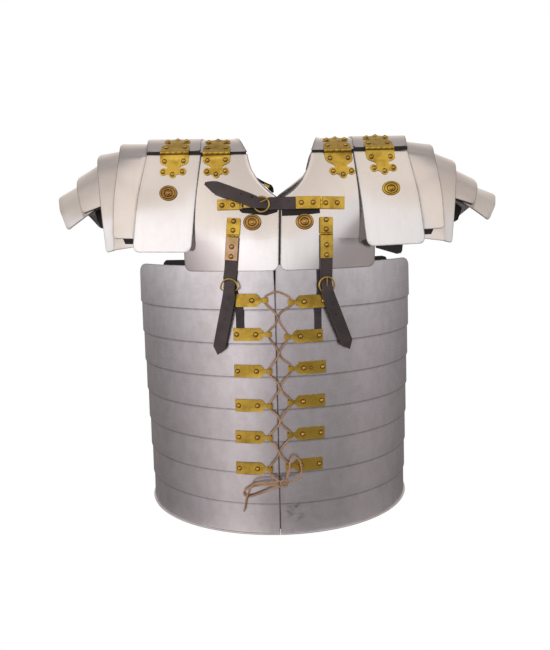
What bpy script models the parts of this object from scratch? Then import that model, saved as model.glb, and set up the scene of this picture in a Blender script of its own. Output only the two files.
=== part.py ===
# Banded plate armour for a soldier's trunk and shoulders: two girdles of hoops, collar plates and
# shoulder guards in steel, with brass hinges, ties and buckles, leather straps and a lace.
# Metres. -Y is the front, +X the viewer's right, +Z up. The origin lies midway between the
# shoulders, level with the tops of the collar plates, where the wearer carries the armour.
import math

import bpy
from mathutils import Vector, geometry

# Stock
PLATE = 0.0012  # steel sheet
LEAF = 0.0011  # brass sheet
LEATHER = 0.0022  # strap leather
SEAM = 0.0004  # air between pieces that lie on each other
WIRE = 0.0012  # radius of a buckle's wire
LACE_RADIUS = 0.0013

# Girdle: eight hoops a side, each one tucked under the hoop above it
GIRDLE_TOP = -0.1745
FIRST_SEAM = -0.2335
LAST_SEAM = -0.5088
GIRDLE_HEM = -0.5545
HOOPS = 8
GIRDLE_REACH_TOP = 0.2095  # half of the width
GIRDLE_REACH_HEM = 0.2040
GIRDLE_DEPTH_RATIO = 0.80
HOOP_LAP = 0.010
HOOP_FLARE = 0.0020  # a hoop's lower edge stands out this far past its upper edge
HOOP_STEPS = 24
HOOP_GAP = 0.0006
FRONT_WEDGE = 0.0032  # the opening between the top hoops at their upper corners
WEDGE_END = -0.212
ARM_SCOOP = 0.028  # the top hoop is cut down under the arms
RIM_ROLL = 0.0022

# Collar and shoulders
SHOULDER_SHIFT = 0.007  # the shoulder unit sits this far towards the viewer's right
HINGE_Y = 0.1465
HINGE_Z = -0.0300
BREAST_HEM = -0.1825
BREAST_CORNER = 0.009
BREAST_REACH = dict(left=0.1275, right=0.1300)  # from the shoulder unit's middle, at the hem
MEETING_TOP = 0.0025  # the front halves meet this far right of that middle at the neck's point
MEETING_HEM = -0.0006  # and here at the hem
CHEST_CROWN = 0.005
CHEST_ROUND = 0.25  # how fast the plate falls back from its middle at the hinge, per metre
CREST_DROP = 0.0027  # the top of the right shoulder lies this far below the left one's
GUARD_RISE = PLATE + SEAM  # the shoulder guard rides this far above the collar
LAME_STEP = 0.0020  # at its front end each lame lies this far below its inner neighbour
LAME_OPENING = 1.2  # this far along their arches the lames begin to stand apart
LAME_CORNER = 0.0050
ARCH_SPAN = 10  # points of a whole arch, counted from its front hem to its back hem
HINGE_PLACE = 3  # the point of a guard's arch that lies in its hinge

# Shoulder crest from the front hinge to its top: distance in front of the top, and height
COLLAR_CREST = (
    dict(ahead=0.1465, up=-0.0300),
    dict(ahead=0.1150, up=-0.0120),
    dict(ahead=0.0850, up=-0.0050),
    dict(ahead=0.0450, up=-0.0008),
    dict(ahead=0.0000, up=0.0000),
)

# Neck line of the plates: distance below the hinge, and reach from the middle on each side
FRONT_NECK = (
    dict(down=0.0000, left=0.0388, right=0.0441),
    dict(down=0.0100, left=0.0370, right=0.0420),
    dict(down=0.0205, left=0.0338, right=0.0386),
    dict(down=0.0335, left=0.0266, right=0.0318),
    dict(down=0.0430, left=0.0187, right=0.0230),
    dict(down=0.0500, left=0.0120, right=0.0146),
    dict(down=0.0590, left=0.0012, right=0.0012),
)
BACK_NECK = (
    dict(down=0.0000, left=0.0530, right=0.0530),
    dict(down=0.0070, left=0.0445, right=0.0478),
    dict(down=0.0150, left=0.0360, right=0.0380),
    dict(down=0.0240, left=0.0265, right=0.0262),
    dict(down=0.0310, left=0.0190, right=0.0160),
    dict(down=0.0370, left=0.0125, right=0.0080),
    dict(down=0.0415, left=0.0075, right=0.0012),
    dict(down=0.0480, left=0.0012, right=0.0012),
)

# Shoulder stations, from the shoulder guard's inner edge to the outermost lame's outer edge.
# Each is an arch from its front hem over the crest. sag is how far the right one hangs below it.
SHOULDER_STATIONS = (
    dict(
        name="guard_inner",
        sag=0.0,
        arch=(
            (0.1160, 0.1555, -0.1543),
            (0.1091, 0.1525, -0.0979),
            (0.1035, 0.1505, -0.0599),
            (0.0990, 0.1480, -0.0320),
            (0.1015, 0.1050, -0.0095),
            (0.1050, 0.0000, 0.0000),
        ),
    ),
    dict(
        name="guard_outer",
        sag=0.0015,
        arch=(
            (0.1928, 0.1570, -0.1522),
            (0.1848, 0.1540, -0.0969),
            (0.1790, 0.1505, -0.0689),
            (0.1688, 0.1480, -0.0320),
            (0.1745, 0.1050, -0.0095),
            (0.1800, 0.0000, 0.0000),
        ),
    ),
    dict(
        name="lame_2_outer",
        sag=0.0050,
        arch=(
            (0.2187, 0.1520, -0.1336),
            (0.2162, 0.1460, -0.0900),
            (0.2130, 0.1380, -0.0600),
            (0.2114, 0.1230, -0.0350),
            (0.2160, 0.0850, -0.0142),
            (0.2225, 0.0000, -0.0055),
        ),
    ),
    dict(
        name="lame_3_outer",
        sag=0.0092,
        arch=(
            (0.2317, 0.1420, -0.1528),
            (0.2372, 0.1320, -0.1020),
            (0.2414, 0.1200, -0.0740),
            (0.2474, 0.1000, -0.0500),
            (0.2530, 0.0700, -0.0320),
            (0.2600, 0.0000, -0.0222),
        ),
    ),
    dict(
        name="lame_4_outer",
        sag=0.0080,
        arch=(
            (0.2630, 0.1260, -0.1180),
            (0.2691, 0.1150, -0.1020),
            (0.2750, 0.1030, -0.0880),
            (0.2825, 0.0850, -0.0722),
            (0.2892, 0.0550, -0.0595),
            (0.2975, 0.0000, -0.0522),
        ),
    ),
    dict(
        name="lame_5_outer",
        sag=0.0055,
        arch=(
            (0.3012, 0.0850, -0.1252),
            (0.3085, 0.0730, -0.1120),
            (0.3173, 0.0600, -0.1010),
            (0.3232, 0.0450, -0.0905),
            (0.3288, 0.0270, -0.0825),
            (0.3325, 0.0000, -0.0780),
        ),
    ),
)
SAG_SHARE = (0.0, 0.3, 0.6, 0.8, 1.0, 1.0)  # how much of the sag each point of an arch takes
GUARD_HEM = dict(left=-0.048, right=0.0)  # where along its arches a guard's front plate begins

# Lames outside the shoulder guard. station is the arch of the outer edge, lap how much of the
# neighbour's strip the lame runs under, crest_step how far it hangs below that neighbour at the
# top of the shoulder, hem_inner and hem_outer the heights of its front end, and left_lower how
# much lower that end is on the left shoulder.
SHOULDER_LAMES = (
    dict(
        name="2",
        station=2,
        lap=0.30,
        crest_step=0.0045,
        hem_inner=-0.1338,
        hem_outer=-0.1329,
        left_lower=0.0035,
        columns=(-0.30, 0.0, 0.5, 1.0),
    ),
    dict(
        name="3",
        station=3,
        lap=1.00,
        crest_step=0.0095,
        hem_inner=-0.1459,
        hem_outer=-0.1528,
        left_lower=0.0022,
        columns=(-1.0, -0.5, 0.0, 0.5, 1.0),
    ),
    dict(
        name="4",
        station=4,
        lap=0.50,
        crest_step=0.0110,
        hem_inner=-0.0880,
        hem_outer=-0.1024,
        left_lower=0.0,
        columns=(-0.5, 0.0, 0.33, 1.0),
    ),
    dict(
        name="5",
        station=5,
        lap=0.67,
        crest_step=0.0105,
        hem_inner=-0.0960,
        hem_outer=-0.1252,
        left_lower=0.0,
        columns=(-0.67, 0.0, 0.5, 1.0),
    ),
)

# Lobed hinges: the middle's reach from the shoulder unit's middle, and the knuckle's half length.
# Each lower leaf has its length, drop, and leans outward by its lean at its lowest lobe.
LOBED_HINGES = (
    dict(
        name="collar_hinge",
        reach=0.0785,
        half=0.0178,
        lift=0.0,
        left=dict(drop=0.0285, lean=0.0015),
        right=dict(drop=0.0330, lean=0.0080),
    ),
    dict(
        name="guard_hinge",
        reach=0.1325,
        half=0.0185,
        lift=GUARD_RISE,
        left=dict(drop=0.0265, lean=0.0045),
        right=dict(drop=0.0285, lean=0.0075),
    ),
)
LOBE = 0.0048
LEAF_WAIST = 0.43
LEAF_LENGTH = 0.030
KNUCKLE_RADIUS = 0.0026

# Ties along the front opening: height of each row and reach of its outer ends, left and right.
# The first row stands on the leaves that hold the girdle's buckles, its left one cut short there.
TIE_ROWS = (
    dict(left=-0.2205, right=-0.2240, reach_left=0.0607, reach_right=0.0682, stand=LEAF + SEAM, short=0.0086),
    dict(left=-0.2664, right=-0.2703, reach_left=0.0570, reach_right=0.0625, stand=0.0),
    dict(left=-0.3168, right=-0.3139, reach_left=0.0575, reach_right=0.0665, stand=0.0),
    dict(left=-0.3650, right=-0.3608, reach_left=0.0577, reach_right=0.0648, stand=0.0),
    dict(left=-0.4103, right=-0.4070, reach_left=0.0590, reach_right=0.0635, stand=0.0),
    dict(left=-0.4560, right=-0.4519, reach_left=0.0598, reach_right=0.0605, stand=0.0),
)
# Outline of a tie from its outer end to its loop: distance along, half height, thickness
TIE_SHAPE = (
    dict(along=0.0000, half=0.0086, thick=LEAF),
    dict(along=0.0170, half=0.0086, thick=LEAF),
    dict(along=0.0350, half=0.0086, thick=LEAF),
    dict(along=0.0415, half=0.0040, thick=LEAF),
    dict(along=0.0430, half=0.0022, thick=LEAF),
    dict(along=0.0438, half=0.0022, thick=0.0030),
    dict(along=0.0442, half=0.0033, thick=0.0030),
    dict(along=0.0515, half=0.0033, thick=0.0030),
)

# Buckled straps that hang the girdle from the breastplates. x runs along the whole frame.
GIRDLE_STRAPS = (
    dict(
        side="left",
        top=(-0.0508, -0.1135),
        ring=(-0.0587, -0.2034),
        radius=0.0117,
        tip=(-0.0780, -0.2940),
    ),
    dict(
        side="right",
        top=(0.0685, -0.1150),
        ring=(0.0672, -0.2030),
        radius=0.0105,
        tip=(0.0985, -0.2920),
    ),
)
STRAP_HALF = 0.0086
STRAP_FOLD = -0.1365  # height of the hinge between the leaf on the plate and the leaf on the strap
STRAP_LEAF_END = -0.1680
RING_PASS = 0.0044  # the strap passes through the ring between this far above and below its middle
RING_WAIST = 0.0075  # half width of the strap there

# The strap that closes the collar
CHEST_STRAP_Z = -0.0965
CHEST_STRAP_RIGHT = 0.0930
CHEST_STRAP_HINGE = 0.0625
CHEST_STRAP_LEAF_END = 0.0290
CHEST_RING_X = -0.0145
CHEST_RING_RADIUS = 0.0098
CHEST_RING_DROP = 0.0012  # the chest strap's ring hangs this far below the strap's middle
CHEST_STRAP_TIP = (-0.0860, -0.0700)
CHEST_PLATE_LEFT = -0.0722
CHEST_PLATE_HINGE = -0.0425
BACK_STRAP_Z = -0.0960

COLOURS = {
    "steel": ((0.55, 0.55, 0.56), 0.32, 1.0),
    "brass": ((0.72, 0.49, 0.13), 0.30, 1.0),
    "leather": ((0.06, 0.045, 0.04), 0.65, 0.0),
    "thong": ((0.33, 0.21, 0.12), 0.80, 0.0),
}


def clear_scene():
    for thing in list(bpy.data.objects):
        bpy.data.objects.remove(thing, do_unlink=True)


def finish_material(name, kind):
    colour, roughness, metallic = COLOURS[kind]
    material = bpy.data.materials.new(name)
    material.use_nodes = True
    shader = material.node_tree.nodes["Principled BSDF"]
    shader.inputs["Base Color"].default_value = (*colour, 1.0)
    shader.inputs["Roughness"].default_value = roughness
    shader.inputs["Metallic"].default_value = metallic
    return material


def add_object(name, points, faces, kind):
    mesh = bpy.data.meshes.new(name)
    mesh.from_pydata([tuple(p) for p in points], [], faces)
    mesh.update()
    mesh.shade_smooth()
    mesh.set_sharp_from_angle(angle=math.radians(35))
    mesh.materials.append(finish_material(name, kind))
    made = bpy.data.objects.new(name, mesh)
    bpy.context.scene.collection.objects.link(made)
    return made


def side_name(side):
    return "left" if side < 0 else "right"


def row_normal(rows, i, j):
    """Unit normal of a grid of points at row i, column j."""
    up, down = rows[max(i - 1, 0)][j], rows[min(i + 1, len(rows) - 1)][j]
    before, after = rows[i][max(j - 1, 0)], rows[i][min(j + 1, len(rows[i]) - 1)]
    return (down - up).cross(after - before).normalized()


def wall(name, rows, thickness, kind, inside):
    """A closed wall whose outer face runs through a grid of points, thickened towards inside."""
    high, wide = len(rows), len(rows[0])
    middle = rows[high // 2][wide // 2]
    sign = 1.0 if row_normal(rows, high // 2, wide // 2).dot(middle - inside) > 0 else -1.0
    outer = [p for row in rows for p in row]
    inner = [
        rows[i][j] - sign * thickness * row_normal(rows, i, j)
        for i in range(high)
        for j in range(wide)
    ]
    count = high * wide
    faces = []
    for i in range(high - 1):
        for j in range(wide - 1):
            a, b = i * wide + j, i * wide + j + 1
            c, d = a + wide, b + wide
            faces.append((a, c, d, b))
            faces.append((a + count, b + count, d + count, c + count))
    for j in range(wide - 1):
        low = (high - 1) * wide + j
        faces.append((j, j + 1, j + 1 + count, j + count))
        faces.append((low + 1, low, low + count, low + 1 + count))
    for i in range(high - 1):
        a, b = i * wide, (i + 1) * wide
        right_a, right_b = a + wide - 1, b + wide - 1
        faces.append((b, a, a + count, b + count))
        faces.append((right_a, right_b, right_b + count, right_a + count))
    if sign < 0:
        faces = [tuple(reversed(f)) for f in faces]
    return add_object(name, outer + inner, faces, kind)


def band(name, stations, kind):
    """A flat strap through stations of (centre of the back face, half width, thickness, outward)."""
    points, faces = [], []
    last = len(stations) - 1
    for i, (centre, half, thickness, outward) in enumerate(stations):
        ahead = stations[min(i + 1, last)][0] - stations[max(i - 1, 0)][0]
        across = ahead.cross(outward).normalized()
        face_out = across.cross(ahead).normalized()
        for sideways, lifted in ((-1, 0), (1, 0), (1, 1), (-1, 1)):
            points.append(centre + across * half * sideways + face_out * thickness * lifted)
    for i in range(last):
        for k in range(4):
            a, b = 4 * i + k, 4 * i + (k + 1) % 4
            faces.append((a, a + 4, b + 4, b))
    faces.append((0, 1, 2, 3))
    faces.append(tuple(4 * last + k for k in (3, 2, 1, 0)))
    made = add_object(name, points, faces, kind)
    return face_outwards(made)


def face_outwards(made):
    """Turns a closed mesh's faces outward where they were wound the other way."""
    volume = 0.0
    mesh = made.data
    mesh.calc_loop_triangles()
    for triangle in mesh.loop_triangles:
        a, b, c = (mesh.vertices[i].co for i in triangle.vertices)
        volume += a.dot(b.cross(c))
    if volume < 0:
        mesh.flip_normals()
    return made


def prism(name, back, front, kind):
    """A closed solid between two outlines with the same number of points."""
    count = len(back)
    faces = []
    for a, b, c in geometry.tessellate_polygon([front]):
        faces.append((a + count, b + count, c + count))
        faces.append((c, b, a))
    for i in range(count):
        j = (i + 1) % count
        faces.append((i, j, j + count, i + count))
    return face_outwards(add_object(name, list(back) + list(front), consistent(faces), kind))


def consistent(faces):
    """Winds the two caps of a prism the way its sides run."""
    used = {(f[k], f[(k + 1) % len(f)]) for f in faces if len(f) == 4 for k in range(4)}
    fixed = []
    for f in faces:
        edges = [(f[k], f[(k + 1) % len(f)]) for k in range(len(f))]
        clashes = len(f) == 3 and any(e in used for e in edges)
        fixed.append(f if not clashes else None)
    if None in fixed:
        return [f if len(f) == 4 else tuple(reversed(f)) for f in faces]
    return faces


def ring(name, centre, major, minor, axis, kind, turns=20, sides=8):
    """A closed wire ring about an axis."""
    helper = Vector((1, 0, 0)) if abs(axis.x) < 0.9 else Vector((0, 0, 1))
    first = axis.cross(helper).normalized()
    second = axis.cross(first).normalized()
    points, faces = [], []
    for i in range(turns):
        angle = 2 * math.pi * i / turns
        out = first * math.cos(angle) + second * math.sin(angle)
        for j in range(sides):
            tilt = 2 * math.pi * j / sides
            points.append(centre + out * (major + minor * math.cos(tilt)) + axis * minor * math.sin(tilt))
    for i in range(turns):
        for j in range(sides):
            a, b = i * sides + j, i * sides + (j + 1) % sides
            c, d = (i + 1) % turns * sides + j, (i + 1) % turns * sides + (j + 1) % sides
            faces.append((a, b, d, c))
    return face_outwards(add_object(name, points, faces, kind))


def rod(name, start, end, radius, kind, sides=10):
    """A closed round bar between two points."""
    axis = (end - start).normalized()
    helper = Vector((0, 0, 1)) if abs(axis.z) < 0.9 else Vector((1, 0, 0))
    first = axis.cross(helper).normalized()
    second = axis.cross(first)
    points = []
    for centre in (start, end):
        for i in range(sides):
            angle = 2 * math.pi * i / sides
            points.append(centre + radius * (first * math.cos(angle) + second * math.sin(angle)))
    faces = [(i, (i + 1) % sides, (i + 1) % sides + sides, i + sides) for i in range(sides)]
    faces.append(tuple(reversed(range(sides))))
    faces.append(tuple(range(sides, 2 * sides)))
    return face_outwards(add_object(name, points, faces, kind))


def join_to(main, piece):
    """Unites a helper piece with the main one and hides the helper."""
    piece.hide_render = True
    piece.display_type = "WIRE"
    union = main.modifiers.new("unite " + piece.name, "BOOLEAN")
    union.operation = "UNION"
    union.solver = "EXACT"
    union.object = piece


def between(low, high, share):
    return low + (high - low) * share


def spline_at(points, place):
    """A smooth curve through points, read at a place counted in points; it runs on past its ends."""
    last = len(points) - 1
    i = min(max(int(math.floor(place)), 0), last - 1)
    t = place - i
    p1, p2 = points[i], points[i + 1]
    p0 = points[i - 1] if i > 0 else p1 * 2 - p2
    p3 = points[i + 2] if i + 2 <= last else p2 * 2 - p1
    return 0.5 * (
        p1 * 2
        + (p2 - p0) * t
        + (p0 * 2 - p1 * 5 + p2 * 4 - p3) * t * t
        + (p1 * 3 - p0 - p2 * 3 + p3) * t * t * t
    )


def read_table(table, key, value, at):
    """Reads one column of a table against another, with straight runs between rows."""
    for low, high in zip(table, table[1:]):
        if at <= high[key]:
            share = (at - low[key]) / (high[key] - low[key])
            return between(low[value], high[value], max(share, 0.0))
    return table[-1][value]


def corner_stations(length, radius, middle, corner=4, both=True):
    """Distances along a plate with the inset of its rounded ends: (distance, inset)."""
    stations = []
    for k in range(corner + 1):
        turn = 0.5 * math.pi * k / corner
        stations.append((radius * (1 - math.cos(turn)), radius * (1 - math.sin(turn))))
    start = radius
    end = length - radius if both else length
    for k in range(1, middle + 1):
        stations.append((between(start, end, k / middle), 0.0))
    if both:
        for s, inset in reversed(stations[:corner]):
            stations.append((length - s, inset))
    return stations


# Girdle


def girdle_reach(z):
    share = (GIRDLE_TOP - z) / (GIRDLE_TOP - GIRDLE_HEM)
    return between(GIRDLE_REACH_TOP, GIRDLE_REACH_HEM, share)


def on_girdle(angle, z, out):
    """A point on the girdle's round, out from its base surface. The angle runs from the front."""
    reach = girdle_reach(z)
    deep = GIRDLE_DEPTH_RATIO * reach
    return Vector(((reach + out) * math.sin(angle), -(deep + out) * math.cos(angle), z))


def girdle_front(x, z, out):
    """The point in front of the girdle at x."""
    return on_girdle(math.asin(x / (girdle_reach(z) + out)), z, out)


def hoop_limits(i):
    pitch = (FIRST_SEAM - LAST_SEAM) / (HOOPS - 2)
    hem = FIRST_SEAM - i * pitch if i < HOOPS - 1 else GIRDLE_HEM
    top = GIRDLE_TOP if i == 0 else FIRST_SEAM - (i - 1) * pitch + HOOP_LAP
    return top, hem


def flare_at(z):
    """How far the outermost hoop stands out from the base surface at a height."""
    for i in range(HOOPS):
        top, hem = hoop_limits(i)
        if z >= hem:
            return HOOP_FLARE * (top - z) / (top - hem)
    return HOOP_FLARE


def flare_behind(low, high):
    """The most that the hoops stand out between two heights."""
    hems = [hoop_limits(i)[1] for i in range(HOOPS)]
    return max(flare_at(z) for z in [low, high] + [hem for hem in hems if low < hem < high])


def arm_scoop(angle):
    """How far the top edge is cut down under the arm at an angle from the front."""
    turn = math.degrees(angle)
    if turn < 62 or turn > 168:
        return 0.0
    if turn < 95:
        return ARM_SCOOP * 0.5 * (1 - math.cos(math.pi * (turn - 62) / 33))
    if turn < 135:
        return ARM_SCOOP
    return ARM_SCOOP * 0.5 * (1 + math.cos(math.pi * (turn - 135) / 33))


def make_hoop(side, i):
    top, hem = hoop_limits(i)
    heights = [(top, 0.0), (hem, HOOP_FLARE)]
    if i == 0:
        heights = [(between(top, hem, s), HOOP_FLARE * s) for s in (0.0, 0.32, 0.64, 1.0)]
    if i == HOOPS - 1:
        heights = [
            (top, 0.0),
            (hem + 0.0045, HOOP_FLARE),
            (hem + 0.0018, HOOP_FLARE + 0.5 * RIM_ROLL),
            (hem, HOOP_FLARE + RIM_ROLL),
        ]
    rows = []
    for z, out in heights:
        gap = HOOP_GAP
        if i == 0 and z > WEDGE_END:
            gap = between(HOOP_GAP, FRONT_WEDGE, (z - WEDGE_END) / (GIRDLE_TOP - WEDGE_END))
        reach = girdle_reach(z) + out
        start = math.asin(0.5 * gap / reach)
        end = math.pi - math.asin(0.5 * HOOP_GAP / reach)
        row = []
        for k in range(HOOP_STEPS + 1):
            angle = between(start, end, k / HOOP_STEPS)
            cut = arm_scoop(angle) * (z - hem) / (top - hem) if i == 0 else 0.0
            point = on_girdle(angle, z - cut, out)
            row.append(Vector((side * point.x, point.y, point.z)))
        rows.append(row)
    inside = Vector((0, 0, rows[0][0].z))
    return wall(f"girdle_{side_name(side)}_{i + 1}", rows, PLATE, "steel", inside)


def make_tie(side, row, number):
    z = row[side_name(side)]
    reach = TIE_SHAPE[0]["half"] + SEAM
    flare = flare_behind(z - reach, z + reach)
    stations = []
    for shape in TIE_SHAPE:
        along = max(shape["along"], row.get("short", 0.0)) if side < 0 else shape["along"]
        x = side * (row["reach_" + side_name(side)] - along)
        back = girdle_front(x, z, flare + SEAM + row["stand"])
        outward = Vector((back.x * GIRDLE_DEPTH_RATIO**2, back.y, 0)).normalized()
        stations.append((back, shape["half"], shape["thick"], outward))
    return band(f"tie_{side_name(side)}_{number}", stations, "brass")


# Collar plates


def crest_drop(side, ahead):
    return CREST_DROP * (1 - min(ahead / HINGE_Y, 1.0)) if side > 0 else 0.0


def crest_at(side, ahead):
    """Height of the collar's crest at a distance in front of its top."""
    points = [Vector((row["ahead"], row["up"], 0)) for row in COLLAR_CREST]
    low, high = 0.0, float(len(points) - 1)
    for _ in range(30):
        middle = 0.5 * (low + high)
        if spline_at(points, middle).x > ahead:
            low = middle
        else:
            high = middle
    return spline_at(points, 0.5 * (low + high)).y - crest_drop(side, ahead)


def chest_depth(x, z):
    """How far in front of the middle the breastplate's outer face lies, at x in the whole frame."""
    at_hinge = HINGE_Y - CHEST_ROUND * (x - SHOULDER_SHIFT) ** 2
    reach = GIRDLE_REACH_TOP + PLATE + 2.5 * SEAM
    deep = GIRDLE_DEPTH_RATIO * GIRDLE_REACH_TOP + PLATE + 2.5 * SEAM
    at_hem = deep * math.sqrt(1 - (x / reach) ** 2)
    share = (HINGE_Z - z) / (HINGE_Z - BREAST_HEM)
    crown = CHEST_CROWN * math.sin(math.pi * min(max(share, 0.0), 1.0))
    return between(at_hinge, at_hem, share) + crown


def chest_point(x, z, out=0.0, facing=-1):
    """A point on a breastplate, or with facing 1 on a backplate. x is in the whole frame."""
    return Vector((x, facing * (chest_depth(x, z) + out), z))


def meeting_at(down):
    """How far right of the shoulder unit's middle the front halves meet, at a distance down."""
    start, end = FRONT_NECK[-1]["down"], HINGE_Z - BREAST_HEM
    share = min(max((down - start) / (end - start), 0.0), 1.0)
    return between(MEETING_TOP, MEETING_HEM, share) * min(down / start, 1.0) ** 3


def make_chest_plate(name, side, facing, neck):
    length = HINGE_Z - BREAST_HEM
    downs = [row["down"] for row in neck] + [0.075, 0.098, 0.120]
    stations = [(down, 0.0) for down in downs]
    stations += [(length - s, inset) for s, inset in reversed(corner_stations(0.1, BREAST_CORNER, 0)[:5])]
    rows = []
    for down, inset in stations:
        inner = read_table(neck, "down", side_name(side), down) + inset
        if facing < 0:
            inner += side * meeting_at(down)
        outer = between(0.106, BREAST_REACH[side_name(side)], min(down / 0.125, 1.0)) - inset
        z = HINGE_Z - 0.0012 - down * (length - 0.0012) / length
        row = []
        for k in range(8):
            x = SHOULDER_SHIFT + side * between(inner, outer, k / 7)
            row.append(chest_point(x, z, 0.0, facing))
        rows.append(row)
    return wall(name, rows, PLATE, "steel", Vector((0, 0, -0.1)))


def collar_inner(side, y):
    """Reach of the neck opening's edge along the crest."""
    share = min(abs(y) / HINGE_Y, 1.0)
    neck = FRONT_NECK if y < 0 else BACK_NECK
    return between(0.0620, neck[0][side_name(side)], share**2.2)


def crest_rows():
    """Places along the crest, with the inset of the guard's rounded ends: (y, inset)."""
    length = 2 * (HINGE_Y - 0.0035)
    return [(s - 0.5 * length, inset) for s, inset in corner_stations(length, 0.006, 14, corner=3)]


def make_mid_collar(side):
    rows = []
    end = HINGE_Y - 0.0012
    for y in [-end] + [y for y, _ in crest_rows()] + [end]:
        row = []
        for j in range(4):
            x = SHOULDER_SHIFT + side * between(collar_inner(side, y), 0.118, j / 3)
            row.append(Vector((x, y, crest_at(side, abs(y)))))
        rows.append(row)
    return wall(f"mid_collar_{side_name(side)}", rows, PLATE, "steel", Vector((0, 0, -0.1)))


# Shoulder guards and lames


def station_arch(station, side):
    """The whole arch of a station from its front hem to its back hem, on one side."""
    front = []
    for (x, ahead, up), share in zip(station["arch"], SAG_SHARE):
        lower = side * station["sag"] * share
        if station["name"].startswith("guard"):
            lower += crest_drop(side, ahead)
        front.append(Vector((SHOULDER_SHIFT + side * x, -ahead, up - lower)))
    back = [Vector((p.x, -p.y, p.z)) for p in reversed(front[:-1])]
    return front + back


def arches(side):
    """All arches of a shoulder, each read at every half point."""
    columns = []
    for station in SHOULDER_STATIONS:
        arch = station_arch(station, side)
        runs = [(0, arch)]
        if station["name"].startswith("guard"):
            far = ARCH_SPAN - HINGE_PLACE
            runs = [
                (0, arch[: HINGE_PLACE + 1]),
                (HINGE_PLACE, arch[HINGE_PLACE : far + 1]),
                (far, arch[far:]),
            ]
        column = []
        for k in range(2 * ARCH_SPAN + 1):
            first, run = [r for r in runs if r[0] <= k / 2][-1]
            column.append(spline_at(run, k / 2 - first))
        columns.append(column)
    return columns


def bare_shoulder(columns, across, along):
    """A point of the shoulder's base surface: straight between arches and between their points."""
    i = min(max(int(math.floor(across)), 0), len(columns) - 2)
    k = min(max(int(math.floor(2 * along)), 0), 2 * ARCH_SPAN - 1)
    low = between(columns[i][k], columns[i + 1][k], across - i)
    high = between(columns[i][k + 1], columns[i + 1][k + 1], across - i)
    return between(low, high, 2 * along - k)


def shoulder_point(columns, across, along, out):
    """A point out from the shoulder's base surface. across counts stations, along arch points."""
    step = 0.05
    over = bare_shoulder(columns, across + step, along) - bare_shoulder(columns, across - step, along)
    length = bare_shoulder(columns, across, along + step) - bare_shoulder(columns, across, along - step)
    normal = over.cross(length).normalized()
    point = bare_shoulder(columns, across, along)
    if normal.dot(point - Vector((0.5 * point.x, 0, -0.2))) < 0:
        normal.negate()
    return point + normal * out


def place_at_height(columns, across, height):
    """How far along the front of the shoulder a height is reached."""
    low, high = -1.0, 4.5
    for _ in range(30):
        middle = 0.5 * (low + high)
        if bare_shoulder(columns, across, middle).z < height:
            low = middle
        else:
            high = middle
    return 0.5 * (low + high)


def make_lame(side, lame):
    """One lame of the shoulder, tucked under its inner neighbour."""
    columns = arches(side)
    outer = lame["station"]
    hem_width = (columns[outer][2] - columns[outer - 1][2]).length
    ends = ((0.0, 1.0), (0.3, 0.286), (1.0, 0.0))

    def places(raised, inset):
        found = []
        for column in lame["columns"]:
            place = column - inset * LAME_CORNER / hem_width if column == 1.0 else column
            share = (place + lame["lap"]) / (1.0 + lame["lap"])
            height = between(lame["hem_inner"], lame["hem_outer"], share) + raised * LAME_CORNER
            height -= lame["left_lower"] if side < 0 else 0.0
            found.append((place, place_at_height(columns, outer - 1 + place, height)))
        return found

    front = [places(raised, inset) for raised, inset in ends]
    back = [[(place, ARCH_SPAN - along) for place, along in row] for row in reversed(front)]
    clear = max(along for _, along in front[-1]) + 0.15
    middle = []
    for k in range(2 * ARCH_SPAN + 1):
        if clear < k / 2 < ARCH_SPAN - clear:
            middle.append([(column, k / 2) for column in lame["columns"]])
    rows = []
    for row in front + middle + back:
        made = []
        for place, along in row:
            span = ARCH_SPAN - 2 * LAME_OPENING
            turn = min(max((along - LAME_OPENING) / span, 0.0), 1.0)
            step = between(LAME_STEP, lame["crest_step"], math.sin(math.pi * turn) ** 2)
            made.append(shoulder_point(columns, outer - 1 + place, along, -step * (1.0 - place)))
        rows.append(made)
    name = f"lame_{side_name(side)}_{lame['name']}"
    return wall(name, rows, PLATE, "steel", Vector((0.12 * side, 0, -0.15)))


def guard_front_point(side, across, along, out, facing):
    """A point on the guard's front or back plate. along runs from the hem, 0, to the hinge, 3."""
    arch_in = station_arch(SHOULDER_STATIONS[0], side)[:4]
    arch_out = station_arch(SHOULDER_STATIONS[1], side)[:4]
    point = between(spline_at(arch_in, along), spline_at(arch_out, along), across)
    return Vector((point.x, facing * (abs(point.y) + out), point.z))


def guard_front_at(side, x, z, out):
    """The point of the guard's front plate at x and z, out from it."""
    across, low, high = 0.5, -1.0, 3.5
    for _ in range(5):
        low, high = -1.0, 3.5
        for _ in range(30):
            along = 0.5 * (low + high)
            if guard_front_point(side, across, along, 0.0, -1).z < z:
                low = along
            else:
                high = along
        inner = guard_front_point(side, 0.0, along, 0.0, -1).x
        outer = guard_front_point(side, 1.0, along, 0.0, -1).x
        across = (x - inner) / (outer - inner)
    point = guard_front_point(side, across, along, out, -1)
    return Vector((x, point.y, z))


def make_guard_plate(side, facing, name):
    """The front or back plate of a shoulder guard, hanging from its hinge."""
    rows = []
    corner = 0.0075
    for s, inset in corner_stations(0.120, corner, 6, both=False):
        row = []
        along = between(GUARD_HEM[side_name(side)], 2.90, s / 0.120)
        for j in range(6):
            width = 0.074
            across = inset / width + (1 - 2 * inset / width) * j / 5
            row.append(guard_front_point(side, across, along, 0.0, facing))
        rows.append(row)
    return wall(f"{name}_{side_name(side)}", rows, PLATE, "steel", Vector((0.1 * side, 0, -0.1)))


def guard_top_edges(y):
    """Inner and outer reach of the guard's top plate."""
    share = abs(y) / HINGE_Y
    return between(0.1050, 0.0990, share**2), between(0.1800, 0.1688, share**2)


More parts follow.
